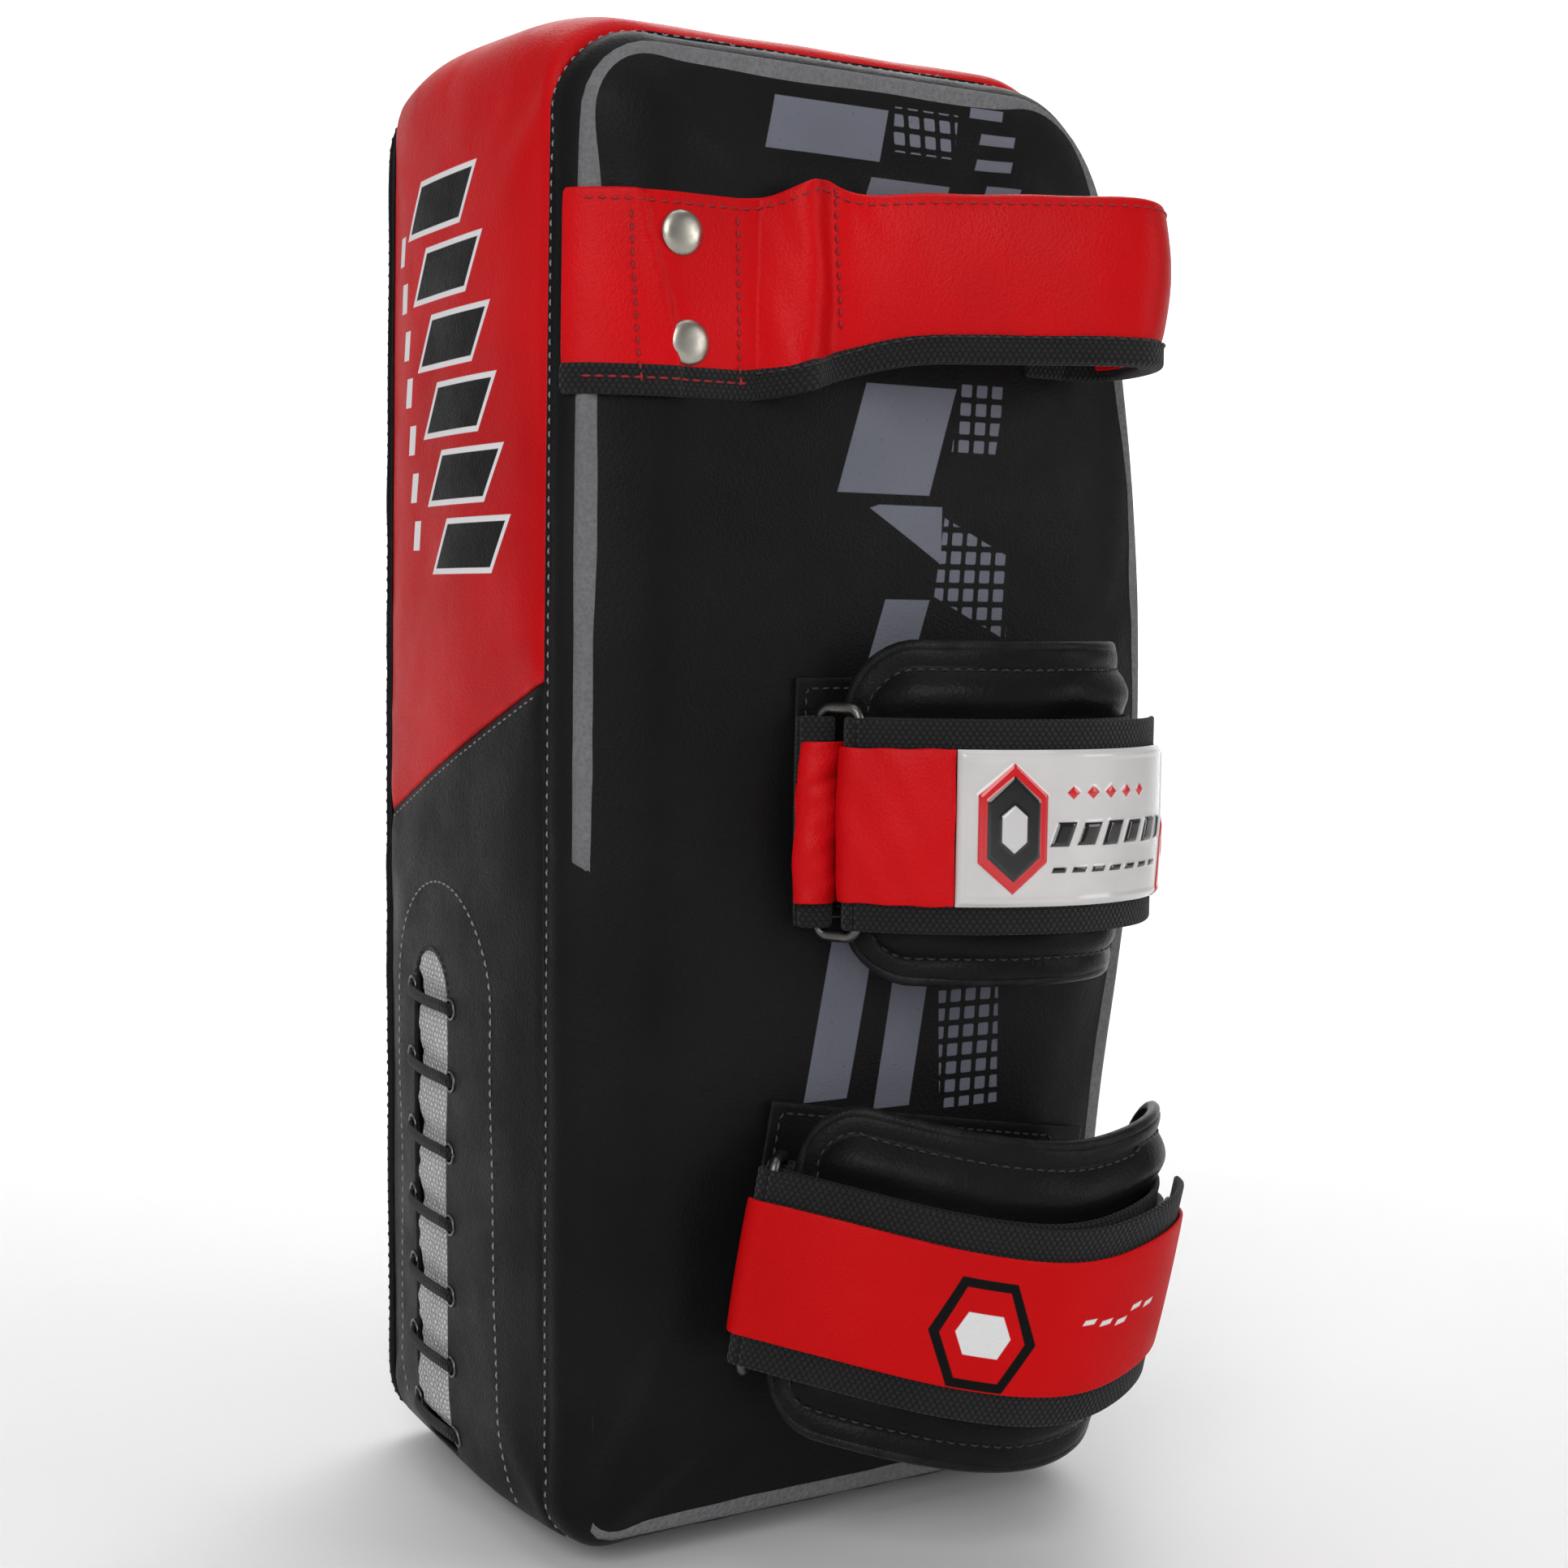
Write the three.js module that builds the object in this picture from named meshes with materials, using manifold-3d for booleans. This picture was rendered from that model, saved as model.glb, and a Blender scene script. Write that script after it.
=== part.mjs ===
// Thai pad: a padded block worn on the forearm, with a grip handle and two forearm straps.
// Millimetres. +Z runs up the pad's length, the strike face looks along +Y, the arm side along -Y.
// The origin is the middle of the bottom end, on which the pad stands.
import * as THREE from 'three';
import { mergeVertices } from 'three/addons/utils/BufferGeometryUtils.js';
import Module from 'manifold-3d';

const wasm = await Module();
wasm.setup();

// ---- driving dimensions ----------------------------------------------------------------
const HEIGHT = 412;
const WIDTH = 187;
const GUSSET_DEPTH = 112;
const TOP_RADIUS = 26;
const BOTTOM_RADIUS = 18;
const BACK_RISE = 18;
const BACK_ROUNDING = 28;
const STRIKE_RISE = 8;
const STRIKE_ROUNDING = 10;
const BACK_WALL = 4;
const STRIKE_WALL = 1;
const HOLLOW_OVERRUN = 2;
const SKIN = 2;
const GAP = 0.3;
const COLOUR_SPLIT_Z = 216;
const COLOUR_SPLIT_SLOPE = -0.39;

const SLOT_CENTRE_Y = 13.5;
const SLOT_WIDTH = 25;
const SLOT_TOP = 157;
const SLOT_BOTTOM = 8;
const LACE_ROWS = 7;
const LACE_TOP_Z = 142;
const LACE_PITCH = 21;
const LACE_RISE = 2.5;
const LACE_RADIUS = 1.5;
const EYELET_RADIUS = 2.2;
const EYELET_OFFSET = 15.5;
const LACE_FACING = 1.4;
const TONGUE = 1.2;
const TONGUE_GAP = 0.8;
const TONGUE_OVERLAP = 0.5;

const WEBBING = 1.6;
const PATCH = 1.6;
const FOLD_RADIUS = 3.4;
const TAB_STRAIGHT = 4;
const TAB_SHOULDER = [2.4, 2.9];
const TAB_COVER = 1;
const RING_WIRE = 3.2;
const RING_BEVEL = 0.8;
const RING_SIDE_ROOM = 0.8;
const CUFF_CORNER = 19;
const TAPE_MARGIN = 3;

const HANDLE_BOTTOM = 313;
const HANDLE_TOP = 366;
const HANDLE_LOOP_BOTTOM = 325;
const HANDLE_LOOP_TOP = 370;
const HANDLE_BINDING = 8;
const HANDLE_STEP = [-44, -4];
const HANDLE_LEATHER = 2.2;
const HANDLE_PAD = 3.6;
const HANDLE_LINING = 1.6;
const RIVET_HEAD_RADIUS = 6;
const RIVET_SHANK_RADIUS = 1.5;
const RIVETS = [
  { label: 'left_lower', x: -61.5, z: 327 },
  { label: 'left_upper', x: -64, z: 355 },
  { label: 'right_lower', x: 53, z: 342 },
  { label: 'right_upper', x: 53, z: 361 },
];

const HALF_WIDTH = WIDTH / 2;
const HALF_DEPTH = GUSSET_DEPTH / 2;
const BACK_FACE_Y = -(HALF_DEPTH + BACK_RISE);
const BORE_CLEARANCE = 0.2;
const CURVE_STEPS = 28;
const BAR_SIDES = 12;
const CORNER_STEPS = 5;
const RIM_STEPS = 6;
const MIN_RADIUS = 3;

const group = new THREE.Group();
group.name = 'thai_pad';

// ---- colours ---------------------------------------------------------------------------
const COLOURS = {
  black: [0x17171a, 0.55, 0],
  red: [0xd01018, 0.45, 0],
  webbing: [0x131316, 0.9, 0],
  pale: [0xc9c9cc, 0.9, 0],
  white: [0xeeeeec, 0.25, 0],
  foam: [0x6a6a6c, 0.95, 0],
  metal: [0xc2c0ba, 0.3, 1],
};

// ---- solid helpers ---------------------------------------------------------------------
/** Turns a three.js geometry into a closed solid that can be joined or cut. */
function solid(geometry) {
  const bare = new THREE.BufferGeometry();
  bare.setAttribute('position', geometry.getAttribute('position').clone());
  if (geometry.index) {
    bare.setIndex(geometry.index.clone());
  }
  const merged = mergeVertices(bare, 1e-4);
  return new wasm.Manifold(new wasm.Mesh({
    numProp: 3,
    vertProperties: new Float32Array(merged.getAttribute('position').array),
    triVerts: new Uint32Array(merged.index.array),
  }));
}

/** Names a finished solid, gives it a material and adds it to the pad. */
function add(name, body, colour) {
  const mesh = body.getMesh();
  const geometry = new THREE.BufferGeometry();
  const positions = new Float32Array(mesh.vertProperties);
  geometry.setAttribute('position', new THREE.BufferAttribute(positions, 3));
  geometry.setIndex(new THREE.BufferAttribute(new Uint32Array(mesh.triVerts), 1));
  geometry.computeVertexNormals();
  const [color, roughness, metalness] = COLOURS[colour];
  const material = new THREE.MeshStandardMaterial({ color, roughness, metalness });
  const node = new THREE.Mesh(geometry, material);
  node.name = name;
  group.add(node);
}

function box(x0, x1, y0, y1, z0, z1) {
  const geometry = new THREE.BoxGeometry(x1 - x0, y1 - y0, z1 - z0);
  geometry.translate((x0 + x1) / 2, (y0 + y1) / 2, (z0 + z1) / 2);
  return solid(geometry);
}

/** A round bar between two values of y, or of x when `alongX` is set. */
function bar(radius, a, b, centre, alongX = false) {
  const geometry = new THREE.CylinderGeometry(radius, radius, b - a, BAR_SIDES);
  if (alongX) {
    geometry.rotateZ(Math.PI / 2);
    geometry.translate((a + b) / 2, centre[0], centre[1]);
  } else {
    geometry.translate(centre[0], (a + b) / 2, centre[1]);
  }
  return solid(geometry);
}

/** Straight extrusion of a shape, square at both ends. */
function extrude(shape, depth, curveSegments) {
  return new THREE.ExtrudeGeometry(shape, { depth, bevelEnabled: false, curveSegments });
}

/** Extrudes a shape drawn in x and z so that it fills y0 to y1. */
function alongY(shape, y0, y1) {
  const geometry = extrude(shape, y1 - y0, 8);
  geometry.rotateX(Math.PI / 2);
  geometry.translate(0, y1, 0);
  return solid(geometry);
}

/** Extrudes a shape drawn in y and z so that it fills x0 to x1. */
function alongX(shape, x0, x1) {
  const geometry = extrude(shape, x1 - x0, 6);
  geometry.rotateX(Math.PI / 2);
  geometry.rotateZ(Math.PI / 2);
  geometry.translate(x0, 0, 0);
  return solid(geometry);
}

/** Extrudes a shape drawn in x and y so that it fills z0 to z1. */
function alongZ(shape, z0, z1) {
  const geometry = extrude(shape, z1 - z0, 6);
  geometry.translate(0, 0, z0);
  return solid(geometry);
}

/** Corner points of a rectangle in x and z with rounded corners, equally many at each corner. */
function roundedRectPoints(x0, x1, z0, z1, radiusTop, radiusBottom, steps) {
  const corners = [
    [x1 - radiusBottom, z0 + radiusBottom, radiusBottom, -Math.PI / 2],
    [x1 - radiusTop, z1 - radiusTop, radiusTop, 0],
    [x0 + radiusTop, z1 - radiusTop, radiusTop, Math.PI / 2],
    [x0 + radiusBottom, z0 + radiusBottom, radiusBottom, Math.PI],
  ];
  return corners.flatMap(([x, z, radius, start]) => {
    const points = [];
    for (let i = 0; i <= steps; i += 1) {
      const angle = start + (Math.PI / 2) * (i / steps);
      points.push(new THREE.Vector2(x + radius * Math.cos(angle), z + radius * Math.sin(angle)));
    }
    return points;
  });
}

function roundedRect(x0, x1, z0, z1, radiusTop, radiusBottom = radiusTop) {
  return new THREE.Shape(roundedRectPoints(x0, x1, z0, z1, radiusTop, radiusBottom, CORNER_STEPS));
}

/** The pad's outline seen from the arm side, drawn `inset` inside the outer skin. */
function padPoints(inset) {
  const top = Math.max(TOP_RADIUS - inset, MIN_RADIUS);
  const bottom = Math.max(BOTTOM_RADIUS - inset, MIN_RADIUS);
  const [x, z0, z1] = [HALF_WIDTH - inset, inset, HEIGHT - inset];
  return roundedRectPoints(-x, x, z0, z1, top, bottom, CORNER_STEPS);
}

const padOutline = (inset) => new THREE.Shape(padPoints(inset));

/** Skins a closed solid over rings of equally many points, from the first ring to the last. */
function loft(rings) {
  const count = rings[0].length;
  const positions = rings.flat().flatMap((point) => [point.x, point.y, point.z]);
  const rim = rings[0].map((point) => new THREE.Vector2(point.x, point.z));
  const cap = THREE.ShapeUtils.triangulateShape(rim, []);
  const lastRing = (rings.length - 1) * count;
  const index = [];
  cap.forEach(([a, b, c]) => {
    index.push(a, b, c);
    index.push(lastRing + a, lastRing + c, lastRing + b);
  });
  for (let ring = 0; ring < rings.length - 1; ring += 1) {
    for (let i = 0; i < count; i += 1) {
      const a = ring * count + i;
      const b = ring * count + (i + 1) % count;
      index.push(a, b + count, b);
      index.push(a, a + count, b + count);
    }
  }
  const geometry = new THREE.BufferGeometry();
  geometry.setAttribute('position', new THREE.Float32BufferAttribute(positions, 3));
  geometry.setIndex(index);
  return geometry;
}

/** The outline as a half cushion: a short wall at y0, then a rounded rim that rises to y1. */
function cushion(inset, y0, wall, y1, rounding) {
  const side = Math.sign(y1 - y0);
  const rise = Math.abs(y1 - y0) - wall;
  const ringAt = (depth, y) => padPoints(depth).map((point) => new THREE.Vector3(point.x, y, point.y));
  const rings = [ringAt(inset, y0)];
  for (let step = 0; step <= RIM_STEPS; step += 1) {
    const angle = (Math.PI / 2) * (step / RIM_STEPS);
    const depth = inset + rounding * (1 - Math.cos(angle));
    rings.push(ringAt(depth, y0 + side * (wall + rise * Math.sin(angle))));
  }
  return solid(loft(side > 0 ? rings : rings.reverse()));
}

// ---- flat line helpers, all in the x-y plane -------------------------------------------
/** A smooth line through the points, as evenly spread points. */
function smooth(points, steps = CURVE_STEPS) {
  const curve = new THREE.SplineCurve(points.map(([x, y]) => new THREE.Vector2(x, y)));
  return curve.getSpacedPoints(steps);
}

/** Moves a line sideways; positive is away from the pad for a line that runs left to right. */
function sideways(line, distance) {
  return line.map((point, i) => {
    const before = line[Math.max(i - 1, 0)];
    const after = line[Math.min(i + 1, line.length - 1)];
    const along = after.clone().sub(before).normalize();
    return new THREE.Vector2(point.x + along.y * distance, point.y - along.x * distance);
  });
}

/** The closed outline between two sideways copies of a line. */
function ribbon(line, inner, outer) {
  return new THREE.Shape([...sideways(line, inner), ...sideways(line, outer).reverse()]);
}

function section(line, from, to) {
  const last = line.length - 1;
  return line.slice(Math.round(last * from), Math.round(last * to) + 1);
}

/** The arm-side panel's surface from x0 to x1, with its rounded rims, raised by `lift`. */
function panelLine(x0, x1, lift) {
  const flat = HALF_WIDTH - BACK_ROUNDING;
  const wallY = HALF_DEPTH + GAP + BACK_WALL;
  const rise = -BACK_FACE_Y - wallY;
  const angleAt = (x) => Math.acos(Math.max(Math.abs(x) - flat, 0) / BACK_ROUNDING);
  const rim = (side, from, to) => {
    const points = [];
    for (let i = 0; i <= RIM_STEPS; i += 1) {
      const angle = from + (to - from) * (i / RIM_STEPS);
      const x = side * (flat + BACK_ROUNDING * Math.cos(angle));
      points.push(new THREE.Vector2(x, -wallY - rise * Math.sin(angle)));
    }
    return points;
  };
  const line = [
    ...(x0 < -flat ? rim(-1, angleAt(x0), Math.PI / 2) : [new THREE.Vector2(x0, BACK_FACE_Y)]),
    ...(x1 > flat ? rim(1, Math.PI / 2, angleAt(x1)) : [new THREE.Vector2(x1, BACK_FACE_Y)]),
  ];
  return sideways(line, lift);
}

// ---- cover ------------------------------------------------------------------------------
const FAR = 600;

/** Arm-side cushion shape, drawn `inset` inside the skin and starting `lead` before the seam. */
function backCushion(inset, lead) {
  const seam = -HALF_DEPTH - GAP;
  return cushion(inset, seam + lead, BACK_WALL + lead, BACK_FACE_Y + inset, BACK_ROUNDING);
}

/** Strike-side cushion shape, drawn the same way. */
function strikeCushion(inset, lead) {
  const seam = HALF_DEPTH + GAP;
  return cushion(inset, seam - lead, STRIKE_WALL + lead, HALF_DEPTH + STRIKE_RISE - inset, STRIKE_ROUNDING);
}

let rivetHoles = null;
for (const { x, z } of RIVETS) {
  const hole = bar(RIVET_SHANK_RADIUS + BORE_CLEARANCE, BACK_FACE_Y - 10, -HALF_DEPTH, [x, z]);
  rivetHoles = rivetHoles ? rivetHoles.add(hole) : hole;
}

const backHollow = backCushion(SKIN, HOLLOW_OVERRUN);
const strikeHollow = strikeCushion(SKIN, HOLLOW_OVERRUN);
add('back_panel', backCushion(0, 0).subtract(backHollow).subtract(rivetHoles), 'black');
add('strike_panel', strikeCushion(0, 0).subtract(strikeHollow), 'black');

const gussetShape = padOutline(0);
gussetShape.holes.push(padOutline(SKIN));
const gusset = alongY(gussetShape, -HALF_DEPTH, HALF_DEPTH);

/** Everything below the slanted line where the side changes colour. */
function belowSplit(lift) {
  const z = (y) => COLOUR_SPLIT_Z + lift + COLOUR_SPLIT_SLOPE * y;
  const reach = HALF_DEPTH + 10;
  const shape = new THREE.Shape();
  shape.moveTo(-reach, -FAR);
  shape.lineTo(reach, -FAR);
  shape.lineTo(reach, z(reach));
  shape.lineTo(-reach, z(-reach));
  return alongX(shape, -FAR, FAR);
}

// ---- lacing on the left side ------------------------------------------------------------
const slotLeft = SLOT_CENTRE_Y - SLOT_WIDTH / 2;
const slotRight = SLOT_CENTRE_Y + SLOT_WIDTH / 2;
const slotShape = roundedRect(slotLeft, slotRight, SLOT_BOTTOM, SLOT_TOP, SLOT_WIDTH / 2 - 0.5, 4);

const nearEyelets = [];
const farEyelets = [];
for (let row = 0; row < LACE_ROWS; row += 1) {
  const z = LACE_TOP_Z - row * LACE_PITCH;
  nearEyelets.push([SLOT_CENTRE_Y - EYELET_OFFSET, z]);
  farEyelets.push([SLOT_CENTRE_Y + EYELET_OFFSET, z + LACE_RISE]);
}
const holeFrom = -HALF_WIDTH - 1;
const holeTo = -HALF_WIDTH + 5;
let laceHoles = alongX(slotShape, holeFrom, holeTo);
for (const eyelet of [...nearEyelets, ...farEyelets]) {
  laceHoles = laceHoles.add(bar(EYELET_RADIUS, holeFrom, holeTo, eyelet, true));
}

add('side_gusset_upper', gusset.subtract(belowSplit(GAP / 2)), 'red');
add('side_gusset_lower', gusset.intersect(belowSplit(-GAP / 2)).subtract(laceHoles), 'black');

const facingOuterX = -HALF_WIDTH + SKIN + GAP;
const facingInnerX = facingOuterX + LACE_FACING;
const facingShape = roundedRect(SLOT_CENTRE_Y - 43, SLOT_CENTRE_Y + 30, BOTTOM_RADIUS, 182, 32, 4);
add('lace_facing', alongX(facingShape, facingOuterX, facingInnerX).subtract(laceHoles), 'black');

const tongueOuterX = facingInnerX + TONGUE_GAP;
const tongueInnerX = tongueOuterX + TONGUE;
const [tongueLeft, tongueRight] = [slotLeft - TONGUE_OVERLAP, slotRight + TONGUE_OVERLAP];
const tongueShape = roundedRect(tongueLeft, tongueRight, 12, SLOT_TOP + 8, 6, 3);
add('lace_tongue', alongX(tongueShape, tongueOuterX, tongueInnerX), 'pale');

/** A route whose rings sit exactly at the given points. */
class Route extends THREE.CatmullRomCurve3 {
  getPointAt(u, target) {
    return this.getPoint(u, target);
  }

  getTangentAt(u, target) {
    return this.getTangent(u, target);
  }
}

const laceOutX = -HALF_WIDTH - LACE_RADIUS - 0.6;
const laceInX = tongueInnerX + LACE_RADIUS + 0.5;
const outwardBend = 1.6;
const laceRoute = [];
const lacePoint = (x, [y, z], dy = 0, dz = 0) => laceRoute.push(new THREE.Vector3(x, y + dy, z + dz));
for (let row = 0; row < LACE_ROWS; row += 1) {
  const far = farEyelets[row];
  const near = nearEyelets[row];
  lacePoint(laceInX, far, -10, row === 0 ? -4 : 3.4);
  lacePoint(laceInX, far, -3.2, row === 0 ? -1.2 : 1);
  lacePoint(laceInX - 0.6, far, -1, 0.3);
  lacePoint(tongueOuterX - 0.2, far, 0.1, 0);
  lacePoint(-HALF_WIDTH - 0.2, far);
  lacePoint(laceOutX + 0.5, far, -outwardBend, -0.4);
  lacePoint(laceOutX - 0.1, far, -outwardBend * 3, -1.1);
  lacePoint(laceOutX - 0.1, [SLOT_CENTRE_Y, far[1] - LACE_RISE * 0.6]);
  lacePoint(laceOutX - 0.1, near, outwardBend * 3, 0.7);
  lacePoint(laceOutX + 0.5, near, outwardBend, 0.2);
  lacePoint(-HALF_WIDTH - 0.2, near);
  lacePoint(tongueOuterX - 0.2, near, -0.1);
  lacePoint(laceInX - 0.6, near, 1, -0.3);
  lacePoint(laceInX, near, 3.2, -1);
}
lacePoint(laceInX, nearEyelets[LACE_ROWS - 1], 14, 2);
const laceSection = new THREE.Shape();
laceSection.absarc(0, 0, LACE_RADIUS, 0, Math.PI * 2, false);
add('lace', solid(new THREE.ExtrudeGeometry(laceSection, {
  steps: laceRoute.length - 1,
  curveSegments: 4,
  bevelEnabled: false,
  extrudePath: new Route(laceRoute),
})), 'black');

// ---- foam block inside the cover ---------------------------------------------------------
const foamInset = SKIN + GAP;
const foamBlock = (y0, y1) => alongY(padOutline(foamInset), y0, y1);
const pocketDepthX = laceInX + LACE_RADIUS + 0.6;
const lacePocket = box(-HALF_WIDTH, pocketDepthX, SLOT_CENTRE_Y - 45, SLOT_CENTRE_Y + 32, 6, 186);
const LAYER_SPLITS = [-20, 22];
let burrPockets = null;
for (const { x, z } of RIVETS) {
  const pocket = bar(RIVET_HEAD_RADIUS + 0.5, BACK_FACE_Y, BACK_FACE_Y + SKIN + 3.5, [x, z]);
  burrPockets = burrPockets ? burrPockets.add(pocket) : pocket;
}
const backingFoam = foamBlock(-HALF_DEPTH, LAYER_SPLITS[0]).add(backCushion(foamInset, HOLLOW_OVERRUN));
const coreFoam = foamBlock(LAYER_SPLITS[0] + GAP, LAYER_SPLITS[1]);
const strikeFoam = foamBlock(LAYER_SPLITS[1] + GAP, HALF_DEPTH)
  .add(strikeCushion(foamInset, HOLLOW_OVERRUN));
add('foam_backing_layer', backingFoam.subtract(lacePocket).subtract(burrPockets), 'foam');
add('foam_core_layer', coreFoam.subtract(lacePocket), 'foam');
add('foam_strike_layer', strikeFoam.subtract(lacePocket), 'foam');

// ---- grip handle -------------------------------------------------------------------------
const bandLift = GAP + HANDLE_LEATHER / 2;
const bandFootY = BACK_FACE_Y - bandLift;
const bandLine = [
  ...panelLine(-HALF_WIDTH + 2, -46, bandLift),
  ...smooth([[-41, bandFootY - 0.6], [-31, -86], [-20, -81], [0, -89], [26, -104], [46, -115.5],
    [58, -117.5], [68, -108.5], [73, -94], [71.5, -82], [65, bandFootY - 1.2], [58.5, bandFootY],
    [46, bandFootY]], 44),
];
const loopLine = bandLine.slice(17, 44);

/** What lies between the handle's edges, which both step up where the band leaves the panel. */
function betweenHandleEdges(lift) {
  const shape = new THREE.Shape();
  shape.moveTo(-FAR, HANDLE_BOTTOM + lift);
  shape.lineTo(HANDLE_STEP[0], HANDLE_BOTTOM + lift);
  shape.lineTo(HANDLE_STEP[1], HANDLE_LOOP_BOTTOM + lift);
  shape.lineTo(FAR, HANDLE_LOOP_BOTTOM + lift);
  shape.lineTo(FAR, HANDLE_LOOP_TOP);
  shape.lineTo(HANDLE_STEP[1], HANDLE_LOOP_TOP);
  shape.lineTo(HANDLE_STEP[0], HANDLE_TOP);
  shape.lineTo(-FAR, HANDLE_TOP);
  return alongY(shape, -FAR, FAR);
}
const bandSolid = (line, inner, outer) => alongZ(ribbon(line, inner, outer), HANDLE_BOTTOM, HANDLE_LOOP_TOP);
const halfLeather = HANDLE_LEATHER / 2;
const bindingEdge = betweenHandleEdges(HANDLE_BINDING);
const leatherEdge = betweenHandleEdges(HANDLE_BINDING + GAP);
const bandSheet = bandSolid(bandLine, -halfLeather, halfLeather);
const padOuter = -halfLeather - GAP;
const liningOuter = padOuter - HANDLE_PAD - GAP;
const gripPad = bandSolid(loopLine, padOuter - HANDLE_PAD, padOuter);
const lining = bandSolid(loopLine, liningOuter - HANDLE_LINING, liningOuter);
add('handle_band', bandSheet.intersect(leatherEdge).subtract(rivetHoles), 'red');
add('handle_binding', bandSheet.intersect(betweenHandleEdges(0)).subtract(bindingEdge), 'webbing');
add('handle_grip_foam', gripPad.intersect(leatherEdge), 'foam');
add('handle_lining', lining.intersect(betweenHandleEdges(1)), 'red');

const bandFaceY = bandFootY - halfLeather;
const panelInsideY = BACK_FACE_Y + SKIN;
for (const { label, x, z } of RIVETS) {
  const shankEnd = panelInsideY + 2.6 - (bandFaceY - GAP);
  const head = new THREE.LatheGeometry([
    new THREE.Vector2(0, -2.4),
    new THREE.Vector2(RIVET_HEAD_RADIUS * 0.55, -2.0),
    new THREE.Vector2(RIVET_HEAD_RADIUS * 0.9, -0.9),
    new THREE.Vector2(RIVET_HEAD_RADIUS, 0),
    new THREE.Vector2(RIVET_SHANK_RADIUS, 0),
    new THREE.Vector2(RIVET_SHANK_RADIUS, shankEnd),
    new THREE.Vector2(0, shankEnd),
  ], 16);
  head.translate(x, bandFaceY - GAP, z);
  add(`rivet_${label}`, solid(head), 'metal');
  const burr = bar(RIVET_HEAD_RADIUS - 1, panelInsideY + GAP, panelInsideY + 1.5, [x, z])
    .subtract(bar(RIVET_SHANK_RADIUS + BORE_CLEARANCE, panelInsideY, panelInsideY + 2, [x, z]));
  add(`rivet_burr_${label}`, burr, 'metal');
}

// ---- forearm straps ----------------------------------------------------------------------
const halfWeb = WEBBING / 2;

/** Lengths of a line between pairs of exact fractions of it, each pair as its own line. */
function cutAlong(line, fractions) {
  const last = line.length - 1;
  const at = (fraction) => {
    const place = fraction * last;
    const i = Math.min(Math.floor(place), last - 1);
    return line[i].clone().lerp(line[i + 1], place - i);
  };
  const pieces = [];
  for (let k = 0; k < fractions.length; k += 2) {
    const [from, to] = [fractions[k], fractions[k + 1]];
    const between = line.filter((_, i) => i / last > from + 0.004 && i / last < to - 0.004);
    pieces.push([at(from), ...between, at(to)]);
  }
  return pieces;
}

/** Layers of the closed strap, as distances from the line through the ring's outer bar. */
const LAYERS = {
  cuff: [-12.5, -FOLD_RADIUS - halfWeb - 0.9],
  base: [-FOLD_RADIUS - halfWeb, -FOLD_RADIUS + halfWeb],
  loopTape: [-FOLD_RADIUS + halfWeb + GAP, -0.15],
  hookTape: [0.15, FOLD_RADIUS - halfWeb - GAP],
  flap: [FOLD_RADIUS - halfWeb, FOLD_RADIUS + halfWeb],
  facing: [FOLD_RADIUS + halfWeb + GAP, FOLD_RADIUS + halfWeb + GAP + 1.1],
  badge: [FOLD_RADIUS + halfWeb + GAP, FOLD_RADIUS + halfWeb + GAP + 2.6],
};

/** Half a turn around a bar, from angle `start` in radians, as line points. */
function foldArc(centre, start, turn, steps = 8) {
  const points = [];
  for (let i = 0; i <= steps; i += 1) {
    const angle = start + turn * i / steps;
    const x = centre[0] + FOLD_RADIUS * Math.cos(angle);
    const y = centre[1] + FOLD_RADIUS * Math.sin(angle);
    points.push(new THREE.Vector2(x, y));
  }
  return points;
}

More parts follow.
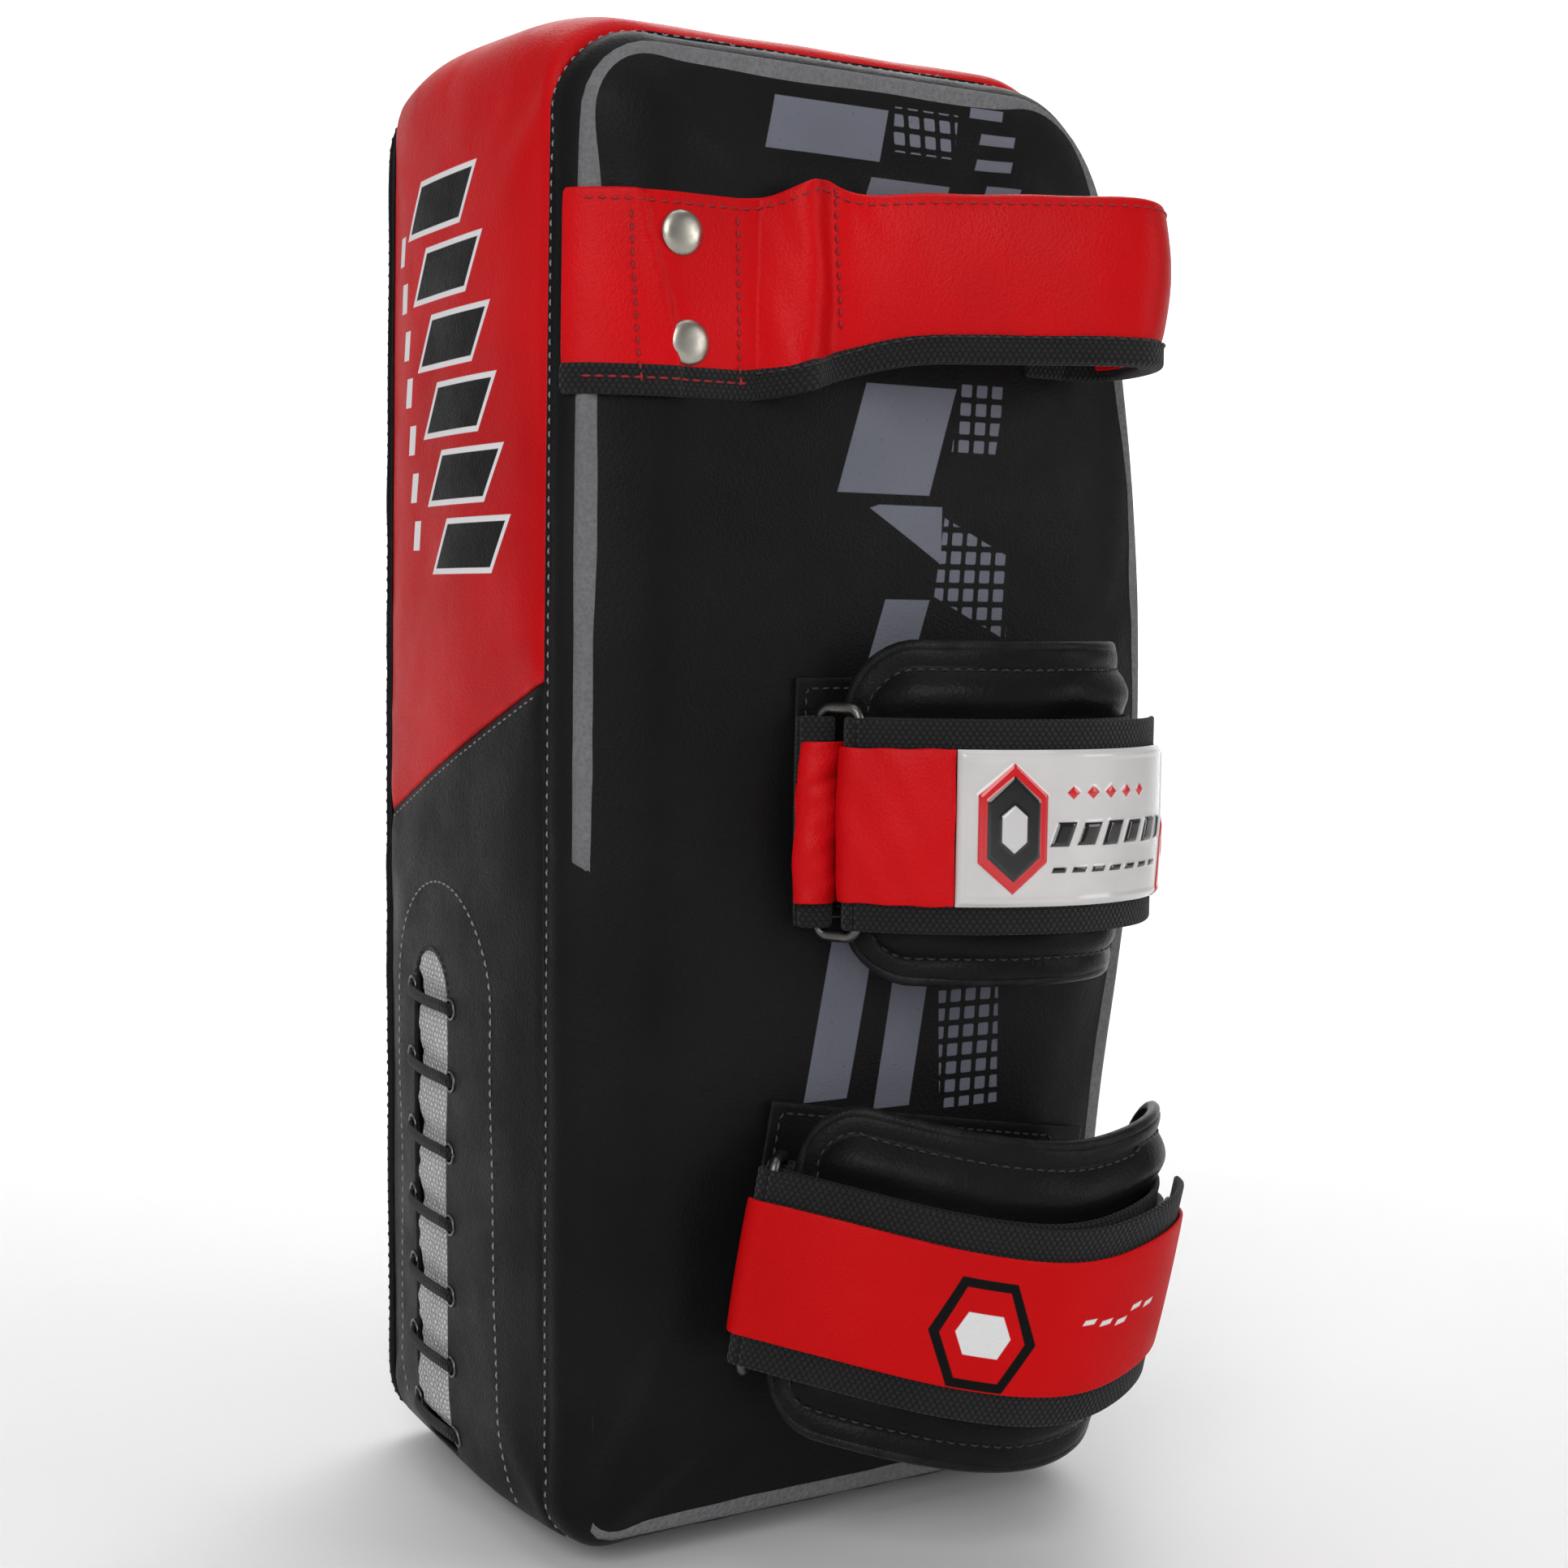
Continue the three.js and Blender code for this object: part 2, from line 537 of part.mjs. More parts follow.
function forearmStrap(set) {
  const { name, tilt, pivot, webHalf, faceHalf, centreZ } = set;
  const webFootY = BACK_FACE_Y - set.patchLift - PATCH - GAP - halfWeb;
  const place = (body) => body.translate([-pivot[0], 0, -pivot[1]]).rotate([0, tilt, 0])
    .translate([pivot[0], 0, pivot[1]]);
  const strip = (shape, z0, z1) => alongZ(shape, centreZ + z0, centreZ + z1);
  const arch = smooth(set.arch, 36);
  const layer = (key, from, to) => ribbon(section(arch, from, to), ...LAYERS[key]);
  const put = (suffix, body, colour) => add(`${name}_${suffix}`, place(body), colour);

  // Patch sewn to the panel, and the webbing tab that holds the ring's inner bar.
  const patch = ribbon(panelLine(set.patch[0], set.patch[1], set.patchLift), 0, PATCH);
  put('anchor_patch', strip(patch, set.patchZ[0], set.patchZ[1]), 'black');
  const innerX = set.innerBarX;
  const innerY = webFootY - FOLD_RADIUS;
  const side = set.tabSide;
  const tabLine = [
    new THREE.Vector2(innerX + side * set.tabLength, webFootY),
    new THREE.Vector2(innerX + side * TAB_STRAIGHT, webFootY),
    ...foldArc([innerX, innerY], Math.PI / 2, Math.PI * side),
    new THREE.Vector2(innerX + side * TAB_SHOULDER[0], innerY - TAB_SHOULDER[1]),
    new THREE.Vector2(innerX + side * set.tabTopLength, webFootY - WEBBING - GAP * 2),
  ];
  put('ring_tab', strip(ribbon(tabLine, -halfWeb, halfWeb), -webHalf, webHalf), 'webbing');
  if (set.tabCover) {
    const topLine = tabLine.slice(-2);
    const cover = ribbon(topLine, -halfWeb - GAP - TAB_COVER, -halfWeb - GAP);
    put('tab_cover', strip(cover, -faceHalf, faceHalf), 'red');
  }

  // Rectangular wire ring between the tab's fold and the strap's fold.
  const [outerX, outerY] = set.arch[0];
  const reach = Math.hypot(outerX - innerX, outerY - innerY);
  const half = RING_WIRE / 2;
  const ringInside = webHalf + RING_SIDE_ROOM;
  const ringOutside = ringInside + RING_WIRE;
  const frame = roundedRect(-half, reach + half, -ringOutside, ringOutside, 3);
  frame.holes.push(roundedRect(half, reach - half, -ringInside, ringInside, 1));
  const wire = new THREE.ExtrudeGeometry(frame, {
    depth: RING_WIRE - RING_BEVEL * 2,
    bevelEnabled: true,
    bevelThickness: RING_BEVEL,
    bevelSize: RING_BEVEL,
    bevelOffset: -RING_BEVEL,
    bevelSegments: 2,
    curveSegments: 3,
  });
  wire.translate(0, 0, RING_BEVEL - half);
  wire.rotateX(Math.PI / 2);
  wire.rotateZ(Math.atan2(outerY - innerY, outerX - innerX));
  wire.translate(innerX, innerY, centreZ);
  put('ring', solid(wire), 'metal');

  // Strap: sewn foot, arch, and the turn round the ring's outer bar.
  const along = arch[1].clone().sub(arch[0]).normalize();
  const innerArch = sideways(arch, -FOLD_RADIUS).filter((_, i) => i > 0 && i % 5 === 0);
  const baseLine = [
    ...foldArc(set.arch[0], along.angle() - Math.PI / 2, -Math.PI),
    ...smooth([...innerArch.map((p) => [p.x, p.y]),
      ...set.foot.map(([x, lift]) => [x, webFootY - lift])], 40),
  ];
  put('strap', strip(ribbon(baseLine, -halfWeb, halfWeb), -webHalf, webHalf), 'webbing');
  const tapeHalf = faceHalf + TAPE_MARGIN;
  put('loop_tape', strip(layer('loopTape', 0.3, 0.9), -tapeHalf, tapeHalf), 'webbing');

  // Padded cuff that lies against the forearm, wider than the strap.
  const [cuffX0, cuffX1, cuffZ0, cuffZ1] = set.cuffBox;
  const lead = set.cuffLead > 0 ? [arch[0].clone().addScaledVector(along, -set.cuffLead)] : [];
  const cuffLine = [...lead, ...section(arch, set.cuffSpan[0], set.cuffSpan[1])];
  const cuffOutline = roundedRect(cuffX0, cuffX1, centreZ + cuffZ0, centreZ + cuffZ1, CUFF_CORNER);
  const cuffSheet = strip(ribbon(cuffLine, ...LAYERS.cuff), cuffZ0, cuffZ1);
  put('cuff', cuffSheet.intersect(alongY(cuffOutline, -FAR, FAR)), 'black');

  // Folded-back flap: hook tape inside, coloured facing outside.
  put('hook_tape', strip(layer('hookTape', 0.36, set.flapEnd - 0.03), -tapeHalf, tapeHalf), 'webbing');
  const flapLine = [arch[0].clone().addScaledVector(along, GAP), ...section(arch, 0, set.flapEnd).slice(1)];
  put('flap', strip(ribbon(flapLine, ...LAYERS.flap), -webHalf, webHalf), 'webbing');
  const outer = cutAlong(arch, [...set.facingSpan, ...(set.badgeSpan ?? [])]);
  const [facingLine, badgeLine] = outer;
  put('flap_facing', strip(ribbon(facingLine, ...LAYERS.facing), -faceHalf, faceHalf), 'red');
  if (badgeLine) {
    put('badge', strip(ribbon(badgeLine, ...LAYERS.badge), -faceHalf, faceHalf), 'white');
  }
}

forearmStrap({
  name: 'upper',
  tilt: 0,
  pivot: [0, 0],
  centreZ: 200.5,
  webHalf: 28.7,
  faceHalf: 21,
  innerBarX: -23,
  tabSide: -1,
  tabCover: true,
  tabLength: 5.6,
  tabTopLength: 5.2,
  patch: [-28.5, 80],
  patchLift: GAP,
  patchZ: [-27, 39],
  arch: [[-17, -91.4], [-4, -103.5], [15, -114], [37, -118], [57, -113], [71, -101], [79, -86]],
  foot: [[66, 1.4], [60, 0], [44, 0]],
  cuffLead: 6,
  cuffSpan: [0, 0.965],
  cuffBox: [-18, 82, -43, 48],
  flapEnd: 0.86,
  facingSpan: [0.012, 0.222],
  badgeSpan: [0.224, 0.84],
});

forearmStrap({
  name: 'lower',
  tilt: 10,
  pivot: [-49, 84],
  centreZ: 84,
  webHalf: 26.3,
  faceHalf: 18,
  innerBarX: -38,
  tabSide: 1,
  tabCover: false,
  tabLength: 20,
  tabTopLength: 17,
  patch: [-42, 70],
  patchLift: GAP + 1,
  patchZ: [-22, 42],
  arch: [[-46, -91], [-34, -104], [-6, -123], [25, -132], [53, -128], [72, -112.5], [82, -91]],
  foot: [[67, 1.6], [60, 0.3], [44, 0.3]],
  cuffLead: 0,
  cuffSpan: [0.03, 0.98],
  cuffBox: [-42, 84, -41, 46],
  flapEnd: 0.9,
  facingSpan: [0.012, 0.88],
});

export default group;
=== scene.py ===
"""Looks of the thai pad: leather covers, lacing, grip handle and two forearm straps."""
import math

import bpy
import bmesh
import numpy as np
from mathutils import Matrix, Quaternion, Vector
from mathutils.bvhtree import BVHTree


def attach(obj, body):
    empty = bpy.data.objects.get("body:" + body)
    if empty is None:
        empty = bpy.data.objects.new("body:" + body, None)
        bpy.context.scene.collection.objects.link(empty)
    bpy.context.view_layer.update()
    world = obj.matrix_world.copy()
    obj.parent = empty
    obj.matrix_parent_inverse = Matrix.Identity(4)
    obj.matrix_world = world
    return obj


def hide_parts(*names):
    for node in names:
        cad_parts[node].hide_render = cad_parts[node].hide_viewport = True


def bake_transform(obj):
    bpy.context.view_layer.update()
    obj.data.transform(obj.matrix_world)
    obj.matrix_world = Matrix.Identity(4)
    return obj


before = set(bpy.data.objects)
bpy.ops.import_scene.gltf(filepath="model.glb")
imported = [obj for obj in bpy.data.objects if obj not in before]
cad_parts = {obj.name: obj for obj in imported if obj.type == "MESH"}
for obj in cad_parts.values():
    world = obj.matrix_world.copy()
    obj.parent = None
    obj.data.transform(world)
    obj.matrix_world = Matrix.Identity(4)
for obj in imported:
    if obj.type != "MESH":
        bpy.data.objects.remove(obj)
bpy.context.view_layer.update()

MM = 0.001
PI = math.pi

# ---- camera --------------------------------------------------------------------------------------
CAMERA_PLACE = (-0.343, -0.609, 0.257)
CAMERA_TURN_DEG = (-4.4, 0.4, -30.3)
LENS = 52.34


def make_camera():
    turn = Vector([math.radians(a) for a in CAMERA_TURN_DEG])
    spin = Quaternion(turn.normalized(), turn.length)
    right, ahead, up = (spin @ Vector(v) for v in ((1, 0, 0), (0, 1, 0), (0, 0, 1)))
    data = bpy.data.cameras.new("camera")
    data.sensor_width = 36
    data.lens = LENS
    data.clip_start = 0.01
    ob = bpy.data.objects.new("camera", data)
    bpy.context.scene.collection.objects.link(ob)
    m = Matrix((right, up, -ahead)).transposed().to_4x4()
    m.translation = Vector(CAMERA_PLACE)
    ob.matrix_world = m
    bpy.context.scene.camera = ob


make_camera()
bpy.context.scene.view_settings.view_transform = "Standard"

# ---- sizes, in millimetres, as the CAD part has them ---------------------------------------------
HEIGHT, HALF_WIDTH, HALF_DEPTH = 412.0, 93.5, 56.0
BACK_Y, STRIKE_Y = -74.0, 64.0
SEAM_TUCK = 1.3
TOP_SINK = 2.0
BACK_ROUNDING, STRIKE_ROUNDING = 28.0, 12.0
SPLIT_Z, SPLIT_SLOPE = 216.0, -0.39
SKIN = 1.7
FOLD_RADIUS, WEBBING, RING_WIRE = 3.4, 1.6, 3.2
GAP = 0.3

# Right-hand half width by height: the stuffing is fullest above the middle and drawn in at both ends.
FULLNESS_Z = [0, 40, 80, 108, 132, 160, 200, 242, 284, 316, 350, 384, 412]
FULLNESS_X = [84, 85.5, 88, 90, 94, 99.5, 103, 103.5, 100.5, 96, 89.5, 82, 78]


def smooth_step(x, a, b):
    t = np.clip((np.asarray(x, float) - a) / (b - a), 0, 1)
    return t * t * (3 - 2 * t)


def puff(p):
    """Takes points of the plain block to the stuffed pad's shape."""
    p = np.array(p, float)
    z = p[:, 2]
    half = sum(np.interp(z + d, FULLNESS_Z, FULLNESS_X) for d in (-24, -12, 0, 12, 24)) / 5
    right = p[:, 0] > 0
    p[right, 0] *= (half / HALF_WIDTH)[right]
    left = ~right
    p[left, 0] *= 1 + 0.012 * np.sin(PI * np.clip(z[left] / HEIGHT, 0, 1))
    return p


# ---- node helper for materials -------------------------------------------------------------------
class Shader:
    """A small wrapper that keeps node trees short to write."""

    def __init__(self, name):
        self.mat = bpy.data.materials.new(name)
        self.mat.use_nodes = True
        self.tree = self.mat.node_tree
        self.bsdf = self.tree.nodes["Principled BSDF"]
        self.object = self.add("ShaderNodeTexCoord").outputs["Object"]
        self.uv = self.add("ShaderNodeTexCoord").outputs["UV"]

    def add(self, kind):
        return self.tree.nodes.new(kind)

    def link(self, source, socket):
        if hasattr(source, "is_output"):
            self.tree.links.new(source, socket)
        else:
            socket.default_value = source

    def math(self, op, a, b=None, c=None):
        node = self.add("ShaderNodeMath")
        node.operation = op
        for i, v in enumerate((a, b, c)):
            if v is not None:
                self.link(v, node.inputs[i])
        return node.outputs[0]

    def split(self, vector):
        node = self.add("ShaderNodeSeparateXYZ")
        self.link(vector, node.inputs[0])
        return node.outputs[0], node.outputs[1], node.outputs[2]

    def stretch(self, vector, scale):
        node = self.add("ShaderNodeVectorMath")
        node.operation = "MULTIPLY"
        self.link(vector, node.inputs[0])
        node.inputs[1].default_value = scale
        return node.outputs[0]

    def noise(self, vector, scale, detail=2.0, rough=0.5):
        node = self.add("ShaderNodeTexNoise")
        self.link(vector, node.inputs["Vector"])
        node.inputs["Scale"].default_value = scale
        node.inputs["Detail"].default_value = detail
        node.inputs["Roughness"].default_value = rough
        return node.outputs[0]

    def cells(self, vector, scale):
        node = self.add("ShaderNodeTexVoronoi")
        self.link(vector, node.inputs["Vector"])
        node.inputs["Scale"].default_value = scale
        return node.outputs["Distance"]

    def remap(self, value, a, b, low, high):
        node = self.add("ShaderNodeMapRange")
        self.link(value, node.inputs[0])
        for i, v in enumerate((a, b, low, high)):
            node.inputs[i + 1].default_value = v
        return node.outputs[0]

    def mix(self, share, a, b):
        node = self.add("ShaderNodeMix")
        node.data_type = "RGBA"
        self.link(share, node.inputs[0])
        for value, socket in ((a, node.inputs[6]), (b, node.inputs[7])):
            self.link(value if hasattr(value, "is_output") else (*value[:3], 1), socket)
        return node.outputs[2]

    def bump(self, height, strength, distance, below=None):
        node = self.add("ShaderNodeBump")
        node.inputs["Strength"].default_value = strength
        node.inputs["Distance"].default_value = distance
        self.link(height, node.inputs["Height"])
        if below is not None:
            self.link(below, node.inputs["Normal"])
        return node.outputs[0]

    def set(self, **sockets):
        for name, value in sockets.items():
            socket = self.bsdf.inputs[name.replace("_", " ")]
            if isinstance(value, tuple) and len(value) == 3:
                value = (*value, 1)
            self.link(value, socket)


def polygon_depth(sh, x, y, corners):
    """How far inside a convex polygon, in metres; corners in millimetres, counter-clockwise."""
    depth = None
    for (x0, y0), (x1, y1) in zip(corners, corners[1:] + corners[:1]):
        nx, ny = -(y1 - y0), x1 - x0
        size = math.hypot(nx, ny)
        nx, ny = nx / size, ny / size
        d = sh.math("MULTIPLY_ADD", x, nx, sh.math("MULTIPLY_ADD", y, ny, -(nx * x0 + ny * y0) * MM))
        depth = d if depth is None else sh.math("MINIMUM", depth, d)
    return depth


def union(sh, depths):
    total = depths[0]
    for d in depths[1:]:
        total = sh.math("MAXIMUM", total, d)
    return total


def inside(sh, depth, edge=0.0, soft=0.00012):
    return sh.remap(depth, edge - soft, edge + soft, 0.0, 1.0)


def parallelogram(x, y, width, height, lean):
    """Corners of a bar with level ends; lean moves its top sideways."""
    w, h, k = width / 2, height / 2, lean / 2
    return [(x - w - k, y - h), (x + w - k, y - h), (x + w + k, y + h), (x - w + k, y + h)]


# ---- materials -----------------------------------------------------------------------------------
BLACK = (0.0046, 0.0046, 0.0050)
BLACK_WORN = (0.0088, 0.0088, 0.0094)
RED = (0.60, 0.0035, 0.0065)
RED_DEEP = (0.47, 0.002, 0.004)
PRINT_GREY = (0.125, 0.130, 0.160)
WHITE_INK = (0.80, 0.78, 0.80)


def leather_base(sh, colour, worn, grain=1150.0, rough=0.40, crease=1.0, gloss=0.10):
    """Grain, colour variation, pore shading and fine creases; returns the colour socket."""
    pores = sh.cells(sh.object, grain)
    fine = sh.noise(sh.object, 2600, 2)
    broad = sh.noise(sh.object, 14, 3, 0.55)
    tone = sh.mix(sh.remap(broad, 0.35, 0.7, 0.0, 1.0), colour, worn)
    ridge = sh.add("ShaderNodeNewGeometry").outputs["Pointiness"]
    rubbed = sh.math("MULTIPLY", sh.remap(ridge, 0.515, 0.56, 0.0, 0.55),
                     sh.remap(sh.noise(sh.object, 180, 3), 0.4, 0.65, 0.0, 1.0))
    tone = sh.mix(rubbed, tone, tuple(min(1.0, c * 1.5 + 0.012) for c in worn))
    grain_height = sh.math("ADD", sh.math("MULTIPLY", pores, 0.8), sh.math("MULTIPLY", fine, 0.35))
    creases = sh.noise(sh.stretch(sh.object, (1.0, 1.0, 0.8)), 80, 4, 0.6)
    low = sh.bump(creases, 0.13 * crease, 0.0016)
    sh.set(Normal=sh.bump(grain_height, 0.34, 0.00035, low))
    scuff = sh.noise(sh.object, 55, 4, 0.6)
    sh.set(Roughness=sh.math("ADD", sh.remap(scuff, 0.3, 0.75, rough - 0.06, rough + 0.11),
                             sh.math("MULTIPLY", pores, 0.10)))
    sh.set(Specular_IOR_Level=gloss)
    return tone


def leather(name, colour, worn, **how):
    sh = Shader(name)
    sh.set(Base_Color=leather_base(sh, colour, worn, **how))
    return sh.mat


def rounded_grid(sh, x, y, pitch, size, lean=0.0):
    """Depth inside a grid of rounded squares."""
    px = sh.math("MULTIPLY_ADD", y, -lean, x)
    fold = [sh.math("ABSOLUTE",
                    sh.math("SUBTRACT", sh.math("FRACT", sh.math("MULTIPLY", v, 1000 / pitch)), 0.5))
                    for v in (px, y)]
    over = [sh.math("MAXIMUM", sh.math("SUBTRACT", v, size), 0.0) for v in fold]
    far = sh.math("SQRT", sh.math("ADD", sh.math("MULTIPLY", over[0], over[0]),
                                  sh.math("MULTIPLY", over[1], over[1])))
    return sh.math("MULTIPLY", sh.math("SUBTRACT", 0.10, far), pitch * MM)


# Plain slanted bars and fields of small squares, printed down the arm-side panel.
BACK_BARS = [
    parallelogram(-18, 387.5, 36, 15, 5), parallelogram(6, 371.5, 26, 8, 3),
    parallelogram(4, 305, 30, 30, 9), [(-5, 286), (19, 271), (19, 287), (-2, 287)],
    parallelogram(4, 248, 15, 26, 8), parallelogram(-12, 145, 14, 46, 9),
    parallelogram(9, 140, 12, 44, 7),
    parallelogram(-2, 212, 14, 28, 8), parallelogram(-10, 183, 14, 20, 7),
]
BACK_FIELDS = [
    parallelogram(14, 390, 21, 13, 3), parallelogram(31, 312, 15, 19, 3),
    [(17, 262), (42, 250), (42, 274), (20, 284)], [(21, 152), (42, 158), (42, 116), (22, 116)],
    [(23, 170), (43, 178), (43, 160), (24, 156)],
]
BACK_MARKS = [parallelogram(36 + 2.2 * (k % 2), 398 - 7.5 * k, 11, 3.2, 1.2) for k in range(5)]


def back_leather():
    sh = Shader("leather_black_printed")
    tone = leather_base(sh, BLACK, BLACK_WORN)
    x, y, z = sh.split(sh.object)
    bars = union(sh, [polygon_depth(sh, x, z, ccw(c)) for c in BACK_BARS + BACK_MARKS])
    field = union(sh, [polygon_depth(sh, x, z, ccw(c)) for c in BACK_FIELDS])
    dots = sh.math("MINIMUM", field, rounded_grid(sh, x, z, 5.2, 0.24, 0.06))
    printed = inside(sh, sh.math("MAXIMUM", bars, dots))
    facing_arm = sh.math("LESS_THAN", y, -0.060)
    worn_off = sh.remap(sh.noise(sh.object, 900, 3, 0.6), 0.25, 0.34, 0.55, 1.0)
    share = sh.math("MULTIPLY", sh.math("MULTIPLY", printed, facing_arm), worn_off)
    ink = sh.mix(sh.remap(sh.noise(sh.object, 25, 2), 0.3, 0.7, 0.0, 1.0), PRINT_GREY,
                 tuple(c * 1.22 for c in PRINT_GREY))
    sh.set(Base_Color=sh.mix(share, tone, ink))
    return sh.mat


def ccw(corners):
    area = sum(a[0] * b[1] - b[0] * a[1] for a, b in zip(corners, corners[1:] + corners[:1]))
    return corners if area > 0 else corners[::-1]


# Slanted bars with a pale outline down the red side, and a broken pale line beside them.
SIDE_BARS = [parallelogram(9 - 4.6 * k, 372 - 19.5 * k, 38, 12.5, -9) for k in range(6)]
SIDE_DASHES = [parallelogram(42 - 2.6 * k, 362 - 14 * k, 5.2, 8.5, -1.5) for k in range(7)]


def side_leather():
    sh = Shader("leather_red_printed")
    tone = leather_base(sh, RED, RED_DEEP, grain=1250.0, rough=0.36)
    x, y, z = sh.split(sh.object)
    bars = union(sh, [polygon_depth(sh, y, z, ccw(c)) for c in SIDE_BARS])
    dashes = union(sh, [polygon_depth(sh, y, z, ccw(c)) for c in SIDE_DASHES])
    left = sh.math("LESS_THAN", x, -0.085)
    pale = sh.math("MULTIPLY", sh.math("MAXIMUM", inside(sh, bars, -0.0016), inside(sh, dashes)), left)
    dark = sh.math("MULTIPLY", inside(sh, bars), left)
    painted = sh.mix(dark, sh.mix(pale, tone, WHITE_INK), BLACK)
    sh.set(Base_Color=painted)
    return sh.mat


def woven(name, colour, pale, rib=1.7, cross=1.25, rough=0.78, depth=0.0005):
    """Webbing: ribs across the tape, split into staggered columns of yarn, with loose fibres, and painted
    shade darkening the grooves between yarns.
    """
    sh = Shader(name)
    u, v, _ = sh.split(sh.uv)
    column = sh.math("MULTIPLY", v, 1000 / cross)
    stagger = sh.math("MULTIPLY", sh.math("FLOOR", column), 0.5)
    along = sh.math("SINE", sh.math("MULTIPLY", sh.math("MULTIPLY_ADD", u, 1000 / rib, stagger),
                                    2 * PI))
    across = sh.math("ABSOLUTE", sh.math("SINE", sh.math("MULTIPLY", column, PI)))
    yarn = sh.math("MULTIPLY", sh.math("MULTIPLY_ADD", along, 0.5, 0.5), sh.math("POWER", across, 0.5))
    fibre = sh.noise(sh.stretch(sh.uv, (1.0, 0.25, 1.0)), 5200, 3)
    height = sh.math("MULTIPLY_ADD", fibre, 0.35, yarn)
    # Colour: random tone from noise, plus painted shade, with low yarn and gaps between columns darker and
    # crowns paler.
    tone_and_groove_shade = sh.math("MULTIPLY_ADD", sh.noise(sh.uv, 60, 3), 0.4, sh.math("MULTIPLY", yarn, 0.8))
    sh.set(Base_Color=sh.mix(sh.remap(tone_and_groove_shade, 0.15, 1.0, 0.0, 1.0), colour, pale))
    sh.set(Normal=sh.bump(height, 0.9, depth),
           Roughness=sh.remap(fibre, 0.2, 0.8, rough - 0.1, rough + 0.12))
    sh.set(Sheen_Weight=0.08, Sheen_Roughness=0.5, Specular_IOR_Level=0.2)
    return sh.mat


def napped(name, colour, pale):
    """Hook or loop tape: a dense short pile."""
    sh = Shader(name)
    pile = sh.cells(sh.object, 1500)
    fuzz = sh.noise(sh.object, 3800, 3, 0.7)
    sh.set(Base_Color=sh.mix(sh.remap(sh.math("ADD", pile, fuzz), 0.5, 1.3, 0.0, 1.0), colour, pale))
    sh.set(Normal=sh.bump(sh.math("ADD", pile, fuzz), 1.0, 0.0009),
           Roughness=sh.remap(fuzz, 0.3, 0.7, 0.82, 0.97))
    sh.set(Sheen_Weight=0.4, Sheen_Roughness=0.6)
    return sh.mat


def metal(name, colour, rough=0.2):
    """Plated metal with fine scratches and a slight haze."""
    sh = Shader(name)
    haze = sh.noise(sh.object, 240, 4, 0.6)
    scratch = sh.noise(sh.stretch(sh.object, (1.0, 8.0, 0.6)), 900, 3, 0.7)
    sh.set(Base_Color=sh.mix(sh.remap(haze, 0.35, 0.75, 0.0, 1.0), colour,
                             tuple(c * 0.72 for c in colour)))
    sh.set(Roughness=sh.remap(haze, 0.3, 0.7, rough - 0.04, rough + 0.14))
    sh.set(Normal=sh.bump(scratch, 0.12, 0.0001))
    sh.set(Metallic=1.0)
    return sh.mat


def thread(name, colour):
    """Twisted sewing thread."""
    sh = Shader(name)
    twist = sh.noise(sh.stretch(sh.object, (1.0, 1.0, 2.0)), 2400, 2)
    sh.set(Base_Color=sh.mix(sh.remap(twist, 0.35, 0.65, 0.0, 1.0), colour,
                             tuple(c * 0.6 for c in colour)))
    sh.set(Normal=sh.bump(twist, 0.6, 0.0002), Roughness=sh.remap(twist, 0.3, 0.7, 0.5, 0.75))
    return sh.mat


def foam(name, colour):
    """Closed-cell foam with a fine open skin."""
    sh = Shader(name)
    pore = sh.cells(sh.object, 900)
    blotch = sh.noise(sh.object, 70, 3)
    sh.set(Base_Color=sh.mix(sh.math("MULTIPLY", pore, blotch), colour, tuple(c * 1.8 for c in colour)))
    sh.set(Normal=sh.bump(pore, 0.7, 0.0006), Roughness=sh.remap(blotch, 0.3, 0.7, 0.85, 0.98))
    return sh.mat


# Artwork of both straps, in millimetres along the strap and across it: nested hexagons, a row of
# diamonds, slanted bars and dashes. The shifts move it along each strap.
UPPER_ART_SHIFT, LOWER_ART_SHIFT = 2.2, -2.4
BADGE_SHIELD = [(29.5, 9), (29.5, -9), (38.2, -17.5), (47, -9), (47, 9), (38.2, 17.5)]
BADGE_SHIELD_CORE = [(31.7, 7.6), (31.7, -7.6), (38.2, -14.2), (44.8, -7.6), (44.8, 7.6), (38.2, 14.2)]
BADGE_MARKS = [[(35.2, 3.4), (35.2, -3.4), (38.2, -6.4), (41.3, -3.4), (41.3, 3.4), (38.2, 6.4)]]
BADGE_DIAMONDS = [[(s - 1.8, 9.5), (s, 7.7), (s + 1.8, 9.5), (s, 11.3)]
                  for s in (54, 59.6, 65.2, 70.8, 76.4)]
BADGE_BARS = [parallelogram(51.5 + 7.4 * k, -1.6, 5.2, 6.6 - 0.5 * (k % 2), 2.2) for k in range(6)]
BADGE_LINE = [parallelogram(50.5 + 5.6 * k, -11.2, 3.8, 1.5, 0.6) for k in range(7)]
BADGE_SLASH = [[(86, -23), (92.5, -23), (99, 2), (99, 9)]]
EMBLEM_HEX = [(49.5, -4), (56, -17.5), (70.5, -17.5), (77.5, -4), (70.5, 11.5), (56, 11.5)]
EMBLEM_HEX_CORE = [(52.3, -4), (57.6, -15), (69, -15), (74.5, -4), (69, 9), (57.6, 9)]
EMBLEM_MARKS = [[(58.9, -8.6), (67.9, -8.6), (70.6, -3), (67.9, 2.6), (58.9, 2.6), (56.2, -3)]]
BAND_DASHES = [parallelogram(92 + 5.5 * k, 1.5 - 1.1 * (k % 3), 3.6, 1.3, 0.8) for k in range(5)]


